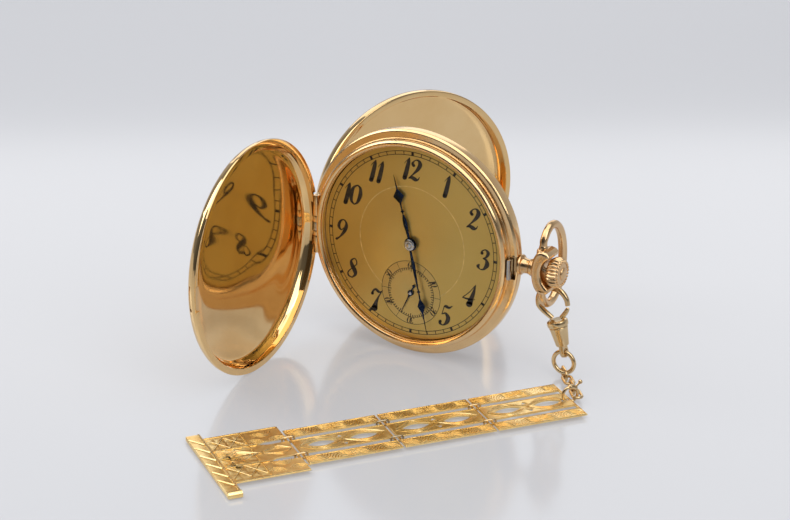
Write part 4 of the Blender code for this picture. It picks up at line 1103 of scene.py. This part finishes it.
# ---- stage, lights and camera ----
def make_stage():
    """A pale glossy sheet that sweeps up into a plain backdrop. It glows with painted light of its own, which
    lifts the shadows cast on it.
    """
    sweep = [(-900, 0), (420, 0)] + [(420 + 260 * sin(a), 260 - 260 * cos(a))
                                     for a in [pi / 2 * i / 16 for i in range(1, 17)]]
    sweep.append((680, 1100))
    shape = Shape()
    shape.add([(x, y, z) for x in (-1500, 1500) for y, z in sweep],
              [(i, i + 1, len(sweep) + i + 1, len(sweep) + i) for i in range(len(sweep) - 1)])
    obj = add_object("stage_sweep", make_mesh("stage_sweep", shape))
    floor = Shader("stage_acrylic_glowing", None, (0.315, 0.32, 0.333), 0.0, 0.14)
    # Painted light: the sheet gives off light of its own, though it is no lamp, to soften the shadows on it.
    floor.main.inputs["Emission Color"].default_value = (0.70, 0.71, 0.755, 1)
    floor.main.inputs["Emission Strength"].default_value = 0.39
    floor.main.inputs["Specular IOR Level"].default_value = 0.5
    obj.data.materials.append(floor.material)
    obj.data.shade_smooth()


def make_light(name, at, size, watts, colour=(1, 1, 1)):
    """A soft panel aimed at the watch."""
    target = (0, 0, 25)
    data = bpy.data.lights.new(name, "AREA")
    data.shape = "RECTANGLE"
    data.size, data.size_y = size[0] * MM, size[1] * MM
    data.energy = watts
    data.color = colour
    light = add_object(name, data)
    light.location = Vector(at) * MM
    aim = (Vector(target) - Vector(at)).to_track_quat("-Z", "Y")
    light.rotation_euler = aim.to_euler()


def make_lights():
    world = bpy.data.worlds.new("studio")
    world.use_nodes = True
    nodes, links = world.node_tree.nodes, world.node_tree.links
    # The room is dim in front and brighter behind, so that gold facing the viewer stays deep.
    place = nodes.new("ShaderNodeTexCoord")
    axes = nodes.new("ShaderNodeSeparateXYZ")
    depth = nodes.new("ShaderNodeMapRange")
    for name, value in (("From Min", -0.9), ("From Max", 0.7), ("To Min", 0.075), ("To Max", 0.5)):
        depth.inputs[name].default_value = value
    sky = nodes["Background"]
    sky.inputs["Color"].default_value = (0.64, 0.66, 0.72, 1)
    links.new(place.outputs["Generated"], axes.inputs["Vector"])
    links.new(axes.outputs["Y"], depth.inputs["Value"])
    links.new(depth.outputs["Result"], sky.inputs["Strength"])
    bpy.context.scene.world = world
    make_light("soft_top", (0, -100, 640), (1000, 800), 4.25, (1.0, 0.985, 0.96))
    make_light("soft_left", (-560, -120, 380), (300, 420), 1.12)
    make_light("soft_right", (520, -200, 430), (300, 420), 1.0)
    make_light("soft_back", (-250, 400, 240), (500, 240), 0.38)


def make_camera():
    """The photograph's view of the dial's middle."""
    azimuth, elevation, roll = radians(30.26), radians(21.77), radians(0.55)
    distance, aside, lower = 485.6, 3.63, 3.58
    back = Vector((sin(azimuth) * cos(elevation), -cos(azimuth) * cos(elevation), sin(elevation)))
    right = Vector((0, 0, 1)).cross(back).normalized()
    up = back.cross(right)
    right, up = right * cos(roll) + up * sin(roll), up * cos(roll) - right * sin(roll)
    at = DIAL_AT + (back * distance - right * aside - up * lower) * MM
    data = bpy.data.cameras.new("camera")
    data.sensor_width = 36.0
    data.lens = 100.7
    data.clip_start = 0.01
    turn = Matrix((right, up, back)).transposed().to_4x4()
    bpy.context.scene.camera = add_object("camera", data, Matrix.Translation(at) @ turn)


def main():
    make_camera()
    make_band()
    make_pins()
    make_cover("front")
    make_cover("rear")
    make_inner_cover()
    make_bezel()
    make_catch()
    make_pendant()
    make_crown()
    make_bow()
    make_dial()
    make_hands()
    make_clip()
    make_links()
    for number in (4, 3, 2):
        make_long_panel(number)
    make_end_panel()
    make_end_bar()
    make_join_rings()
    make_spring_ring()
    dress_movement()
    make_stage()
    make_lights()
    bpy.context.scene.view_settings.view_transform = "Standard"


main()
